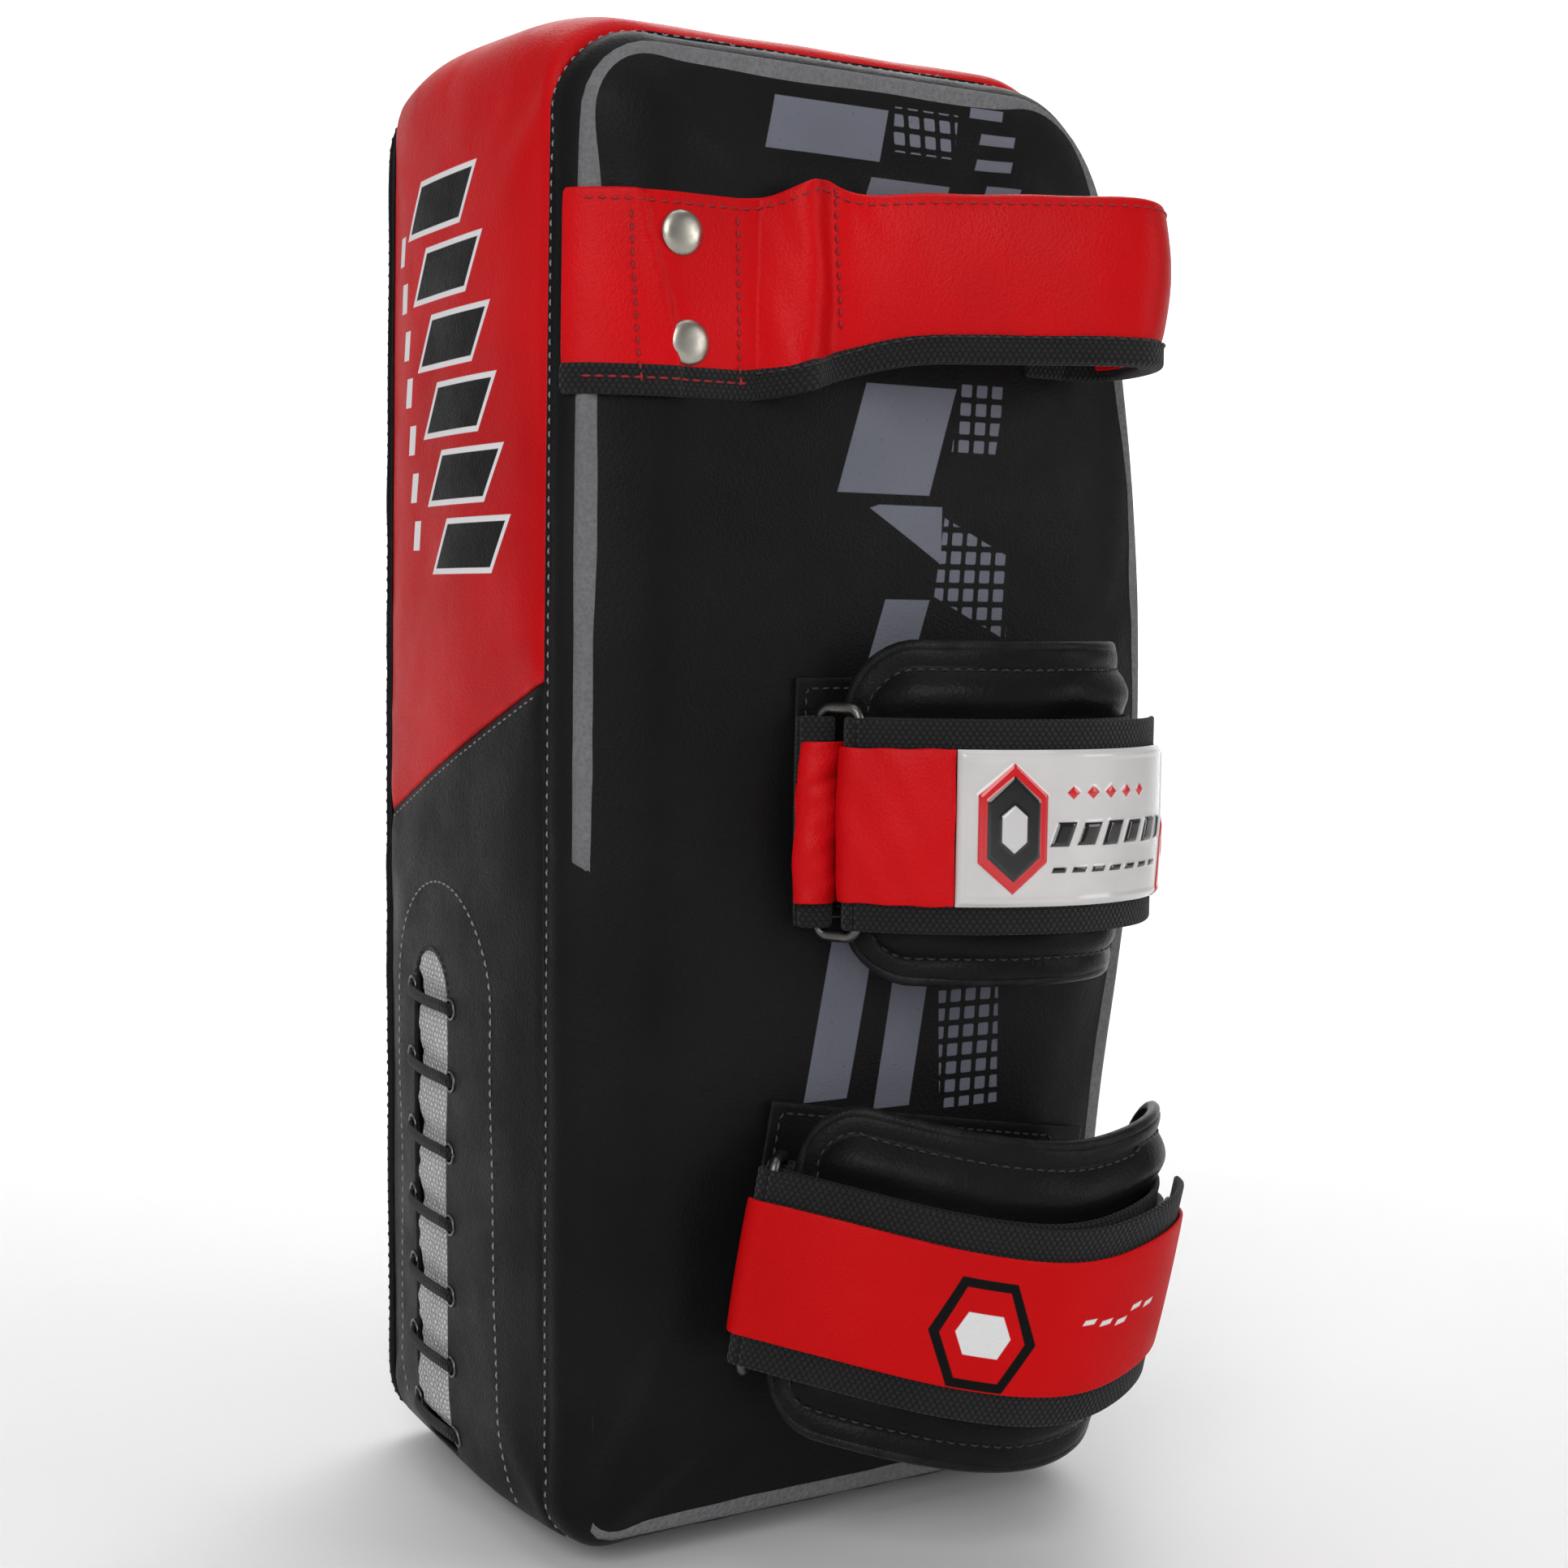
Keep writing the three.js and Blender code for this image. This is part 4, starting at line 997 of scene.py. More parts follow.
def cut(ob, cutters):
    for c in cutters:
        bake(ob, ("BOOLEAN", {"operation": "DIFFERENCE", "object": c, "solver": "EXACT"}))
    for c in cutters:
        bpy.data.objects.remove(c)


near_eyelets = [(SLOT_Y - EYELET_OFFSET, LACE_TOP - LACE_PITCH * k) for k in range(LACE_ROWS)]
far_eyelets = [(SLOT_Y + EYELET_OFFSET, LACE_TOP - LACE_PITCH * k + LACE_RISE)
               for k in range(LACE_ROWS)]


CUT_FROM, CUT_TO = -110, -80
left_tree = tree_of(gussets["lower"], gussets["upper"])
hole_turn = np.linspace(0, 2 * PI, 14, endpoint=False)
holes = [prism_x("slot_cutter", slot_outline(0), CUT_FROM, CUT_TO)]
holes += [prism_x(f"hole_{k}", arc(e, EYELET_RADIUS, hole_turn), CUT_FROM, CUT_TO)
          for k, e in enumerate(near_eyelets + far_eyelets)]
cut(gussets["lower"], holes)
for p in gussets["lower"].data.polygons:
    p.use_smooth = True

finish_piece(back_cover, "pad", ["back_panel"])
finish_piece(strike_cover, "pad", ["strike_panel"])
finish_piece(gussets["upper"], "pad", ["side_gusset_upper"])
finish_piece(gussets["lower"], "pad", ["side_gusset_lower"])


def skin_x(y, z):
    """x of the side cover's outer face on the left, at (y, z)."""
    hit = left_tree.ray_cast(Vector((-0.2, y * MM, z * MM)), Vector((1, 0, 0)))
    return hit[0].x / MM if hit[0] is not None else -HALF_WIDTH


# ---- lacing: facing, tongue, lace, eyelets, stitching --------------------------------------------
def face_sheet(name, material, ys, zs, x_at, thickness):
    """A sheet facing -X over a grid of y and z, its outer face at x_at(y, z)."""
    ys, zs = np.asarray(ys), np.asarray(zs)
    grid = np.array([[(x_at(y, z), y, z) for z in zs] for y in ys])
    ob = sweep(name, grid, material, ys, zs, closed=False)
    if ob.data.polygons[0].normal.x > 0:
        ob.data.flip_normals()
    return bake(ob, ("SOLIDIFY", {"thickness": thickness * MM, "offset": -1.0}))


facing = face_sheet("lace_facing_cover", "black", np.linspace(SLOT_Y - 42, SLOT_Y + 29, 24),
                    np.linspace(20, 181, 54), lambda y, z: -HALF_WIDTH + SKIN + GAP, 1.3)
cut(facing, [prism_x("facing_slot", slot_outline(0.2), CUT_FROM, CUT_TO)])
finish_piece(facing, "pad", ["lace_facing"])


TONGUE_X, TONGUE_BULGE = -88.6, 8.9


def tongue_x(y, z):
    """The tongue bulges out through the slot between the lace's crossings."""
    off = abs(y - SLOT_Y)
    across = (1 - float(smooth_step(off, 11.0, 12.5))) * (0.9 + 0.1 * math.cos(PI * off / 25))
    lean = (y - SLOT_Y) / EYELET_OFFSET * LACE_RISE / 2
    pressed = min(abs(z - (LACE_TOP - LACE_PITCH * k + LACE_RISE / 2 + lean)) for k in range(LACE_ROWS))
    puffed = 0.84 + 0.16 * float(smooth_step(pressed, 1.6, 7.5))
    ends = float(smooth_step(z, 11, 20)) * (1 - float(smooth_step(z, SLOT_TOP - 1, SLOT_TOP + 6)))
    ripple = 0.35 * math.sin(y * 1.1 + z * 0.31) * math.sin(z * 0.83)
    return TONGUE_X - (TONGUE_BULGE * puffed * across + ripple * across) * ends


tongue = face_sheet("lace_tongue_cover", "tongue", np.linspace(SLOT_Y - 13.6, SLOT_Y + 13.6, 40),
                    np.linspace(11, 164, 190), tongue_x, 1.1)
finish_piece(tongue, "pad", ["lace_tongue"])

LACE_HALF_WIDTH, LACE_HALF_THICK = 2.9, 0.75
LACE_FLATNESS = LACE_HALF_WIDTH / LACE_HALF_THICK * 0.62
# Places of the lace behind the tongue, at its bend and in the hole, on its way out.
BEHIND_X, BEND_X, HOLE_X = -86.6, -88.2, -90.5
lace_points = []
for row in range(LACE_ROWS):
    far, near = far_eyelets[row], near_eyelets[row]
    out_x = min(skin_x(*far), skin_x(*near)) - LACE_HALF_THICK - 0.55
    low = row > 0
    route = [
        (BEHIND_X, far, -10, 3.4 if low else -4), (BEHIND_X, far, -3.2, 1 if low else -1.2),
        (BEND_X, far, -1, 0.3), (HOLE_X, far, 0.1, 0), (skin_x(*far), far, 0, 0),
        (out_x + 0.35, far, -1.6, -0.4), (out_x - 0.3, far, -4.6, -1.1),
        (out_x - 0.75, (SLOT_Y, far[1] - 1.7), 0, 0),
        (out_x - 0.3, near, 4.6, 0.6), (out_x + 0.35, near, 1.6, 0.2),
        (skin_x(*near), near, 0, 0), (HOLE_X, near, -0.1, 0), (BEND_X, near, 1, -0.3),
        (BEHIND_X, near, 3.2, -1),
    ]
    lace_points += [(x, y + dy, z + dz) for x, (y, z), dy, dz in route]
lace_points.append((BEHIND_X, near_eyelets[-1][0] + 14, near_eyelets[-1][1] + 2))


lace = tube("lace_cord", catmull(lace_points, 0.9), LACE_HALF_THICK, "lace", sides=12,
            flat=LACE_FLATNESS, up=(1, 0, 0))
finish_piece(lace, "pad", ["lace"])

eyelet_turn = np.linspace(0, 2 * PI, 22, endpoint=False)
for k, eyelet in enumerate(near_eyelets + far_eyelets):
    seat, rim = arc(eyelet, 3.0, eyelet_turn), arc(eyelet, 2.75, eyelet_turn)
    ring = [(skin_x(*under) - 0.15, y, z) for under, (y, z) in zip(seat, rim)]
    finish_piece(tube(f"lace_eyelet_{k + 1}", ring, 0.45, "eyelet", sides=8, closed=True), "pad")


def on_left_side(path_yz, spacing=1.5):
    """Points and normals on the left side cover above a line in y and z."""
    line = respace(np.array(path_yz, float), spacing)
    return hug([(skin_x(y, z), y, z) for y, z in line], 0.0, left_tree)


U_TOP, U_NEAR, U_FAR = 178.0, -30.0, 42.0
u_middle = (U_NEAR + U_FAR) / 2
u_half = (U_FAR - U_NEAR) / 2
u_line = [(U_FAR, 14.0), (U_FAR, U_TOP - u_half)]
u_line += arc((u_middle, U_TOP - u_half), u_half, np.linspace(0, PI, 40))
u_line += [(U_NEAR, U_TOP - u_half), (U_NEAR - 2.0, 60.0), (U_NEAR - 7.0, 6.0)]
path, normals = on_left_side(u_line)
stitches("stitch_lace_panel", path, normals, "pad", "thread_grey", pitch=3.3, length=2.2, thick=0.33)
slot_seam = arc((SLOT_Y, SLOT_TOP - SLOT_WIDTH / 2), SLOT_WIDTH / 2 + 1.4, np.linspace(0, PI, 20))
path, normals = on_left_side(slot_seam, 1.0)
stitches("stitch_slot_top", path, normals, "pad", "thread_black", pitch=2.6, length=1.8, thick=0.3)


# ---- foam layers ---------------------------------------------------------------------------------
FOAM_INSET, POCKET_X = 5.0, -83.5


def foam_layer(name, y0, y1, node):
    """One layer of the filling, cut back behind the lacing."""
    rings = []
    ys = [y0, y0 + 0.6, y0 + 2.0, (y0 * 2 + y1) / 3, (y0 + y1 * 2) / 3, y1 - 2.0, y1 - 0.6, y1]
    for y, extra in zip(ys, (2.0, 0.6, 0, 0, 0, 0, 0.6, 2.0)):
        loop = np.vstack([s[:-1] for s in outline(FOAM_INSET + extra, corner_radii(y), (40, 88))])
        left_pocket = loop[:, 0] < -60
        keep_clear = left_pocket & (loop[:, 1] < 190) & (loop[:, 1] > 4)
        loop[keep_clear, 0] = np.maximum(loop[keep_clear, 0], POCKET_X)
        rings.append(np.stack([loop[:, 0], np.full(len(loop), y), loop[:, 1]], 1))
    rings = np.array(rings)
    rings = puff(rings.reshape(-1, 3)).reshape(rings.shape)
    ob = face_out(sweep(name, rings, "foam", ys, lengths(np.vstack([rings[0], rings[0][:1]]))))
    finish_piece(ob, "pad", [node])


foam_layer("foam_backing", -69.0, -20.2, "foam_backing_layer")
foam_layer("foam_core", -19.6, 21.8, "foam_core_layer")
foam_layer("foam_strike", 22.4, 60.5, "foam_strike_layer")


# ---- seams round the pad -------------------------------------------------------------------------
def seam_line(y, inset, counts=(160, 360)):
    loop = np.vstack([s[:-1] for s in outline(inset, corner_radii(y), counts)])
    loop = np.vstack([loop, loop[:1]])
    return puff(np.stack([loop[:, 0], np.full(len(loop), y), loop[:, 1]], 1))


for label, y, colour in (("back", -HALF_DEPTH - 1.9, "thread_grey"),
                         ("strike", HALF_DEPTH + 1.5, "thread_black")):
    path, normals = hug(seam_line(y, 0.0), 0.0)
    stitches(f"stitch_seam_{label}", path, normals, "pad", colour,
             pitch=3.4, length=1.7, thick=0.27, sink=0.06)
for label, sign in (("left", -1), ("right", 1)):
    ys = np.linspace(-HALF_DEPTH + 3, HALF_DEPTH - 3, 80)
    line = np.stack([np.full(80, sign * 120.0), ys, split_height(ys) - 2.6], 1)
    found = [skin.ray_cast(Vector(p * MM), Vector((-sign, 0, 0))) for p in line]
    path = np.array([np.array(f[0]) / MM for f in found])
    normals = np.array([np.array(f[1]) for f in found])
    stitches(f"stitch_colour_seam_{label}", path, normals, "pad", "thread_grey", pitch=3.4, length=1.9,
             thick=0.27)

# ---- grip handle ---------------------------------------------------------------------------------
HANDLE_LINE = [(-41, -76), (-31, -86), (-20, -81), (0, -89), (26, -104), (46, -115.5),
               (58, -117.5), (68, -108.5), (73, -94), (71.5, -82), (65, -76.6), (58.5, -75.4),
               (46, -75.4)]
ANCHOR_START, PLEAT_START = -93.2, -46.0
GRIP_THICK = 3.9
HANDLE_LOW, HANDLE_HIGH = 313, 365.6
anchor_x = np.linspace(ANCHOR_START, PLEAT_START, 38)
rim_x = HALF_WIDTH - BACK_ROUNDING
RIM_Y, RIM_RISE = -60.3, 13.7


def plain_panel(x):
    """The unstuffed panel's surface at x, with its rolled rim."""
    over = max(abs(x) - rim_x, 0)
    return RIM_Y - RIM_RISE * math.sqrt(max(1 - (over / BACK_ROUNDING) ** 2, 0))


anchor = np.array([(x, plain_panel(x) - 1.4) for x in anchor_x])
loop = catmull(HANDLE_LINE, 1.2)
handle_line = respace(np.vstack([anchor, loop]), 1.3)
handle_s = lengths(handle_line)
leave = np.clip(smooth_step(handle_line[:, 0], -47, -34) + (handle_s > 60), 0, 1)
leave *= 1 - smooth_step(handle_s, handle_s[-1] - 24, handle_s[-1] - 10)


def grip_share(x, s):
    """How much of the stuffed grip is under the band here, 0 to 1."""
    if s < handle_s[-1] * 0.7:
        return float(smooth_step(x, -24, 6))
    return float(1 - smooth_step(s, handle_s[-1] - 46, handle_s[-1] - 26))


def edge_heights(x, s):
    """z of the band's lower and upper edge."""
    near = s < handle_s[-1] * 0.6
    rise = float(smooth_step(x, -48, 8)) if near else 1.0
    hump = 4.6 * math.exp(-((x + 27) / 9.5) ** 2) if near else 0.0
    return HANDLE_LOW + 12 * rise, HANDLE_HIGH + 4.4 * rise + hump


def handle_shape(points):
    """Keeps both sewn ends on the stuffed panel."""
    p = np.array(points, float)
    stations = len(handle_line)
    m = len(p) // stations
    p = p.reshape(stations, m, 3)
    for i, (x, y) in enumerate(handle_line):
        stay = 1 - leave[i]
        if stay > 0.01:
            here = p[i]
            plain = np.array([(x, plain_panel(x), z) for z in here[:, 2]])
            here += (hug(plain, 0.15, back_skin)[0] - plain) * stay
    return p.reshape(-1, 3)


def handle_sections(n0, n1, z_low, crown, pad):
    """One cross-section for each station; the loop is thicker and domed where the grip is stuffed."""
    out = []
    for i, (x, y) in enumerate(handle_line):
        low, high = edge_heights(x, handle_s[i])
        grip = grip_share(x, handle_s[i])
        out.append(slab(low + z_low, high, n0 - pad * grip, n1, rows=16,
                        crown=crown * grip + 0.5 * (1 - grip) * leave[i],
                        edge=min(1.6, (n1 - n0 + pad * grip) / 2)))
    return out


band = strip("handle_band_cover", handle_line, handle_sections(-1.1, 1.1, 5.5, 1.9, GRIP_THICK),
             "red", shape=handle_shape)
handle_sides = points_of(band)
slack = np.zeros(len(handle_sides))
m = len(handle_sides) // len(handle_line)
for i, (x, y) in enumerate(handle_line):
    here = handle_sides[i * m:(i + 1) * m]
    pull = math.exp(-((x + 31) / 9) ** 2) if handle_s[i] < handle_s[-1] * 0.5 else 0
    z = here[:, 2]
    ruffle = 0.45 * np.sin(z * 0.10 + 0.5 * x) + 0.16 * np.sin(z * 0.34 + 0.8 * x)
    slack[i * m:(i + 1) * m] = pull * ruffle
    slack[i * m:(i + 1) * m] += 0.28 * leave[i] * np.sin(z * 0.19 + x * 0.16) * np.sin(x * 0.11 + 1.3)
set_points(band, handle_sides + normals_of(band) * slack[:, None])
pins = [i for i in range(len(handle_sides))
        if leave[min(i // m, len(handle_line) - 1)] < 0.5 or min(i % m, m - i % m) < 2
        or abs(i % m - m / 2) < 2]
swell(band, pins, cap=1.5, pressure=3.0)
bake(band, ("SUBSURF", {"levels": 1, "render_levels": 1}))
finish_piece(band, "pad", ["handle_band", "handle_grip_foam"])

binding_sections = []
for i, (x, y) in enumerate(handle_line):
    low = edge_heights(x, handle_s[i])[0]
    grip = grip_share(x, handle_s[i])
    binding_sections.append(slab(low - 0.4, low + 8.2, -1.9 - GRIP_THICK * grip, 1.75, rows=6,
                                 edge=1.6))
binding = strip("handle_edge_binding", handle_line, binding_sections, "webbing", shape=handle_shape)
bake(binding, ("SUBSURF", {"levels": 1, "render_levels": 1}))
finish_piece(binding, "pad", ["handle_binding"])

lining_range = [i for i in range(len(handle_line)) if handle_line[i][0] > -20
                and handle_s[i] < handle_s[-1] - 26]
lining = strip("handle_lining_cover", handle_line[lining_range],
               slab(327.0, 368.0, -7.1, -5.6, rows=12, inner_crown=0.9), "red")
bake(lining, ("SUBSURF", {"levels": 1, "render_levels": 1}))
finish_piece(lining, "pad", ["handle_lining"])

band_tree = tree_of(band)
binding_tree = tree_of(binding)


def on_outside(tree, xs, zs):
    """Places straight out along -Y on a piece, with normals, for stitch rows across it."""
    points, normals = [], []
    for x, z in zip(xs, zs):
        hit = tree.ray_cast(Vector((x * MM, -0.3, z * MM)), Vector((0, 1, 0)))
        if hit[0] is not None:
            points.append(np.array(hit[0]) / MM)
            normals.append(np.array(hit[1]))
    return points, normals


both_tree = tree_of(band, binding)
TOP_STITCH = {"pitch": 3.4, "length": 2.4, "thick": 0.36}
for label, x, lean, z0, z1 in (("anchor_outer", -78.0, 3.0, 315, 361),
                               ("anchor_inner", -48.0, 1.6, 315, 362),
                               ("pleat", -21.5, 2.4, 332, 371)):
    pts, nrm = on_outside(both_tree, np.linspace(x + lean, x, 70), np.linspace(z0, z1, 70))
    stitches(f"stitch_handle_{label}", pts, nrm, "pad", "thread_red", pitch=3.2, length=2.3,
             thick=0.42, sink=0.05)
xs = np.linspace(-90, 70, 300)
tops = [edge_heights(x, 0)[1] - 3.0 for x in xs]
pts, nrm = on_outside(band_tree, xs, tops)
stitches("stitch_handle_top", pts, nrm, "pad", "thread_red", **TOP_STITCH, sink=0.08)
xs = np.linspace(-90, -44, 90)
pts, nrm = on_outside(binding_tree, xs, [edge_heights(x, 0)[0] + 4.2 for x in xs])
stitches("stitch_handle_binding", pts, nrm, "pad", "thread_red", **TOP_STITCH, sink=0.02)
xs = np.linspace(-44, 70, 200)
pts, nrm = on_outside(binding_tree, xs, [edge_heights(x, 0)[0] + 6.6 for x in xs])
stitches("stitch_handle_binding_loop", pts, nrm, "pad", "thread_black", **TOP_STITCH, sink=0.02)

RIVET_PROFILE = [(1.2, -1.68), (2.6, -1.55), (4.0, -1.3), (5.1, -0.9), (5.8, -0.35), (6.05, 0.1),
                 (5.9, 0.45), (5.2, 0.5), (1.5, 0.5), (1.5, 7.6)]
HIDDEN_RIVET_Y = -76.9
RIVETS = {"left_lower": (-61.5, 327), "left_upper": (-64, 355), "right_lower": (53, 342),
          "right_upper": (53, 361)}
for label, (x, z) in RIVETS.items():
    y = on_outside(band_tree, [x], [z])[0][0][1] if x < 0 else HIDDEN_RIVET_Y
    around = np.linspace(0, 2 * PI, 48, endpoint=False)
    rings = np.array([[(px, y + d, pz) for px, pz in arc((x, z), r, around)] for r, d in RIVET_PROFILE])
    head = face_out(sweep(f"rivet_head_{label}", rings, "nickel", lengths(np.array(RIVET_PROFILE)),
                          np.linspace(0, 38, 49)))
    finish_piece(head, "pad", [f"rivet_{label}"])


# ---- forearm straps ------------------------------------------------------------------------------
def tilter(tilt_deg, pivot):
    c, s = math.cos(math.radians(tilt_deg)), math.sin(math.radians(tilt_deg))

    def turn(points):
        p = np.array(points, float)
        dx, dz = p[:, 0] - pivot[0], p[:, 2] - pivot[1]
        p[:, 0], p[:, 2] = pivot[0] + dx * c + dz * s, pivot[1] - dx * s + dz * c
        return p
    return turn


def fold(centre, start, turn, steps=14):
    return arc(centre, FOLD_RADIUS, [start + turn * i / steps for i in range(steps + 1)])


def offset(line, distance):
    return line + outward(line) * distance


def pillow(name, material, frame_at, s0, s1, z0, z1, radius, mid, half, bulge_out, counts=(34, 26)):
    """A padded panel with a flat sewn flange: a rounded rectangle along the strap (s) and across it (z)."""
    flange = 5.6
    ranks = [(0.0, 0.0), (0.15, 0.6), (0.8, 1.1), (3.0, 1.15), (flange - 0.8, 1.0), (flange, 0.75),
             (flange + 0.8, 1.15)]
    for t in np.linspace(0.15, 1.0, 6):
        ranks.append((flange + 0.8 + 11.0 * t, 1.15 + (half - 1.15) * math.sin(t * PI / 2) ** 0.8))
    n_ring = 2 * sum(counts)

    def ring(inset):
        r = max(radius - inset, 0.5)
        a, b, c, d = s0 + inset, s1 - inset, z0 + inset, z1 - inset
        corners = [((a + r, c + r), r, 225), ((b - r, c + r), r, 315),
                   ((b - r, d - r), r, 45), ((a + r, d - r), r, 135)]
        return rounded_sides(corners, counts, 10)

    flat, heights, faces = [], [], []

    def add_side(sign, share_rim):
        base_rings = []
        for k, (inset, h) in enumerate(ranks):
            if k == 0 and share_rim:
                base_rings.append(list(range(n_ring)))
                continue
            loop = np.vstack([s[:-1] for s in ring(inset)])
            base_rings.append(list(range(len(flat), len(flat) + n_ring)))
            flat.extend(map(tuple, loop))
            heights.extend([sign * h] * n_ring)
        new, grid_faces = fill_inside(ring(ranks[-1][0]), counts, base_rings[-1], len(flat))
        flat.extend(map(tuple, new))
        heights.extend([sign * ranks[-1][1]] * len(new))
        for a, b in zip(base_rings[:-1], base_rings[1:]):
            for i in range(n_ring):
                k = (i + 1) % n_ring
                faces.append((a[i], a[k], b[k], b[i]))
        faces.extend(grid_faces)

    add_side(1, False)
    add_side(-1, True)
    flat_arr = np.array(flat)
    points = []
    for (s, z), h in zip(flat_arr, heights):
        (x, y), (nx_, ny_) = frame_at(s)
        d = mid + h + (bulge_out(z) * min(1.0, max(h, 0) / half) if h > 0 else 0)
        points.append((x + nx_ * d, y + ny_ * d, z))
    uv = [tuple(flat_arr[v]) for f in faces for v in f]
    ob = face_out(make_object(name, points, faces, material, uv))
    rim = np.vstack([s[:-1] for s in ring(0.0)])
    seam = np.vstack([s[:-1] for s in ring(flange)])
    return ob, rim, seam, n_ring


def on_panel(points, lift):
    """Points laid on the arm-side panel at their own x and z, raised by lift."""
    return np.array([(x, back_height(x, z) - lift, z) for x, _, z in points])


def forearm_strap(cfg):
    """Every piece of one forearm strap, from its patch to its folded-back flap."""
    name, turn = cfg["name"], tilter(cfg["tilt"], cfg["pivot"])
    centre, web, face = cfg["centre_z"], cfg["web_half"], cfg["face_half"]

    def curl(points):
        """The strap's bow across its width, which grows along the arch and fades at the panel."""
        p = np.array(points, float)
        if cfg["curl"]:
            xs, rises = np.array(cfg["curl"], float).T
            fine = np.linspace(xs[0], xs[-1], 120)
            spread = np.exp(-0.5 * ((fine[:, None] - fine[None, :]) / 6.0) ** 2)
            eased = spread @ np.interp(fine, xs, rises) / spread.sum(1)
            clear = smooth_step(-p[:, 1], 79, 93)
            lean = 3.0 * smooth_step(p[:, 0], 25, 62) * (centre + face - p[:, 2])
            p[:, 0] -= lean / (2 * face) * clear
            p[:, 2] += np.interp(p[:, 0], fine, eased) * clear
        return p

    shape = lambda p: settle(turn(curl(p)))
    flap_body, ring_body = f"{name}_flap_body", f"{name}_ring_body"
    arch = catmull(cfg["arch"], 1.3)
    total = lengths(arch)[-1]
    arch_s, arch_n = lengths(arch), outward(arch)

    def frame_at(s):
        if s < 0:
            ahead = np.array([-arch_n[0][1], arch_n[0][0]])
            return arch[0] + ahead * s, arch_n[0]
        i = np.interp(s, arch_s, np.arange(len(arch)))
        k, w = int(min(i, len(arch) - 2)), i - int(min(i, len(arch) - 2))
        p = arch[k] * (1 - w) + arch[k + 1] * w
        n = arch_n[k] * (1 - w) + arch_n[k + 1] * w
        return p, n / np.linalg.norm(n)

    def span(f0, f1, spacing=1.3):
        s = np.arange(f0 * total, f1 * total, spacing)
        return np.array([frame_at(v)[0] for v in s])

    # Patch sewn flat on the panel.
    x0, x1 = cfg["patch"]
    z0, z1 = cfg["patch_z"]
    xs, zs = np.linspace(x0, x1, 70), np.linspace(z0, z1, 40)
    grid = np.array([[(x, 0, centre + z) for z in zs] for x in xs]).reshape(-1, 3)
    grid = turn(grid)
    lift = cfg["patch_lift"] + 1.3
    placed = on_panel(grid, lift).reshape(70, 40, 3)
    patch = sweep(f"{name}_patch_cover", placed, "black", xs, zs, closed=False)
    if patch.data.polygons[0].normal.y > 0:
        patch.data.flip_normals()
    bake(patch, ("SOLIDIFY", {"thickness": 1.2 * MM, "offset": -1.0}),
         ("BEVEL", {"width": 0.4 * MM, "segments": 2, "limit_method": "ANGLE"}))
    for p in patch.data.polygons:
        p.use_smooth = True
    finish_piece(patch, "pad", [f"{name}_anchor_patch"])
    inset = 3.0
    border = [(x0 + inset, z0 + inset), (x1 - 14, z0 + inset), (x1 - 14, z1 - inset),
              (x0 + inset, z1 - inset), (x0 + inset, z0 + inset)]
    dense = respace(np.array(border, float), 1.5)
    on = turn(np.array([(x, 0, centre + z) for x, z in dense]))
    pts = on_panel(on, lift)
    stitches(f"stitch_{name}_patch", pts, np.tile((0, -1.0, 0), (len(pts), 1)), "pad", "thread_black",
             pitch=3.4, length=2.3, thick=0.4, sink=0.02)

    # Tab round the ring's inner bar, and the ring itself.
    foot_y = BACK_Y - cfg["patch_lift"] - 1.6 - GAP - WEBBING / 2
    inner = (cfg["inner_x"], foot_y - FOLD_RADIUS)
    side, length = cfg["tab_side"], cfg["tab_length"]
    tab_line = [(inner[0] + side * (length - 4 * k), foot_y)
                for k in range(int((length - 4) / 4) + 1)] + fold(inner, PI / 2, PI * side)
    step, rise = WEBBING + 0.6, 2 * FOLD_RADIUS - WEBBING - 0.6
    if cfg["tab_cover"]:
        tab_line += [(inner[0] + side * (length - 0.4) * math.sin(a),
                      foot_y - step - rise * math.cos(a)) for a in np.linspace(0, PI / 2, 9)[1:]]
    else:
        tab_line += [(inner[0] + side * (3 + (length - 6) * t),
                      foot_y - step - rise * math.exp(-4.5 * t)) for t in np.linspace(0, 1, 8)[1:]]
    web_section = slab(centre - web, centre + web, -WEBBING / 2, WEBBING / 2, rows=14)
    tab = strip(f"{name}_ring_tab_webbing", respace(np.array(tab_line), 1.0), web_section, "webbing",
                shape=shape)
    finish_piece(tab, "pad", [f"{name}_ring_tab"])
    outer = cfg["arch"][0]
    reach = math.hypot(outer[0] - inner[0], outer[1] - inner[1])
    along = np.array([(outer[0] - inner[0]) / reach, (outer[1] - inner[1]) / reach])
    tall, r = web + 0.7 + RING_WIRE / 2, 3.2
    corners = [(r, -tall + r, 180), (reach - r, -tall + r, 270), (reach - r, tall - r, 0),
               (r, tall - r, 90)]
    loop = []
    for a, b, start in corners:
        loop += arc((a, b), r, [math.radians(start + d) for d in np.linspace(0, 90, 9)])
    loop = respace(np.vstack([loop, loop[:1]]), 1.4)[:-1]
    wire = np.array([(inner[0] + along[0] * a, inner[1] + along[1] * a, centre + b) for a, b in loop])
    ring = tube(f"{name}_ring_wire", shape(wire), RING_WIRE / 2, "ring", sides=16, closed=True)
    finish_piece(ring, ring_body, [f"{name}_ring"])

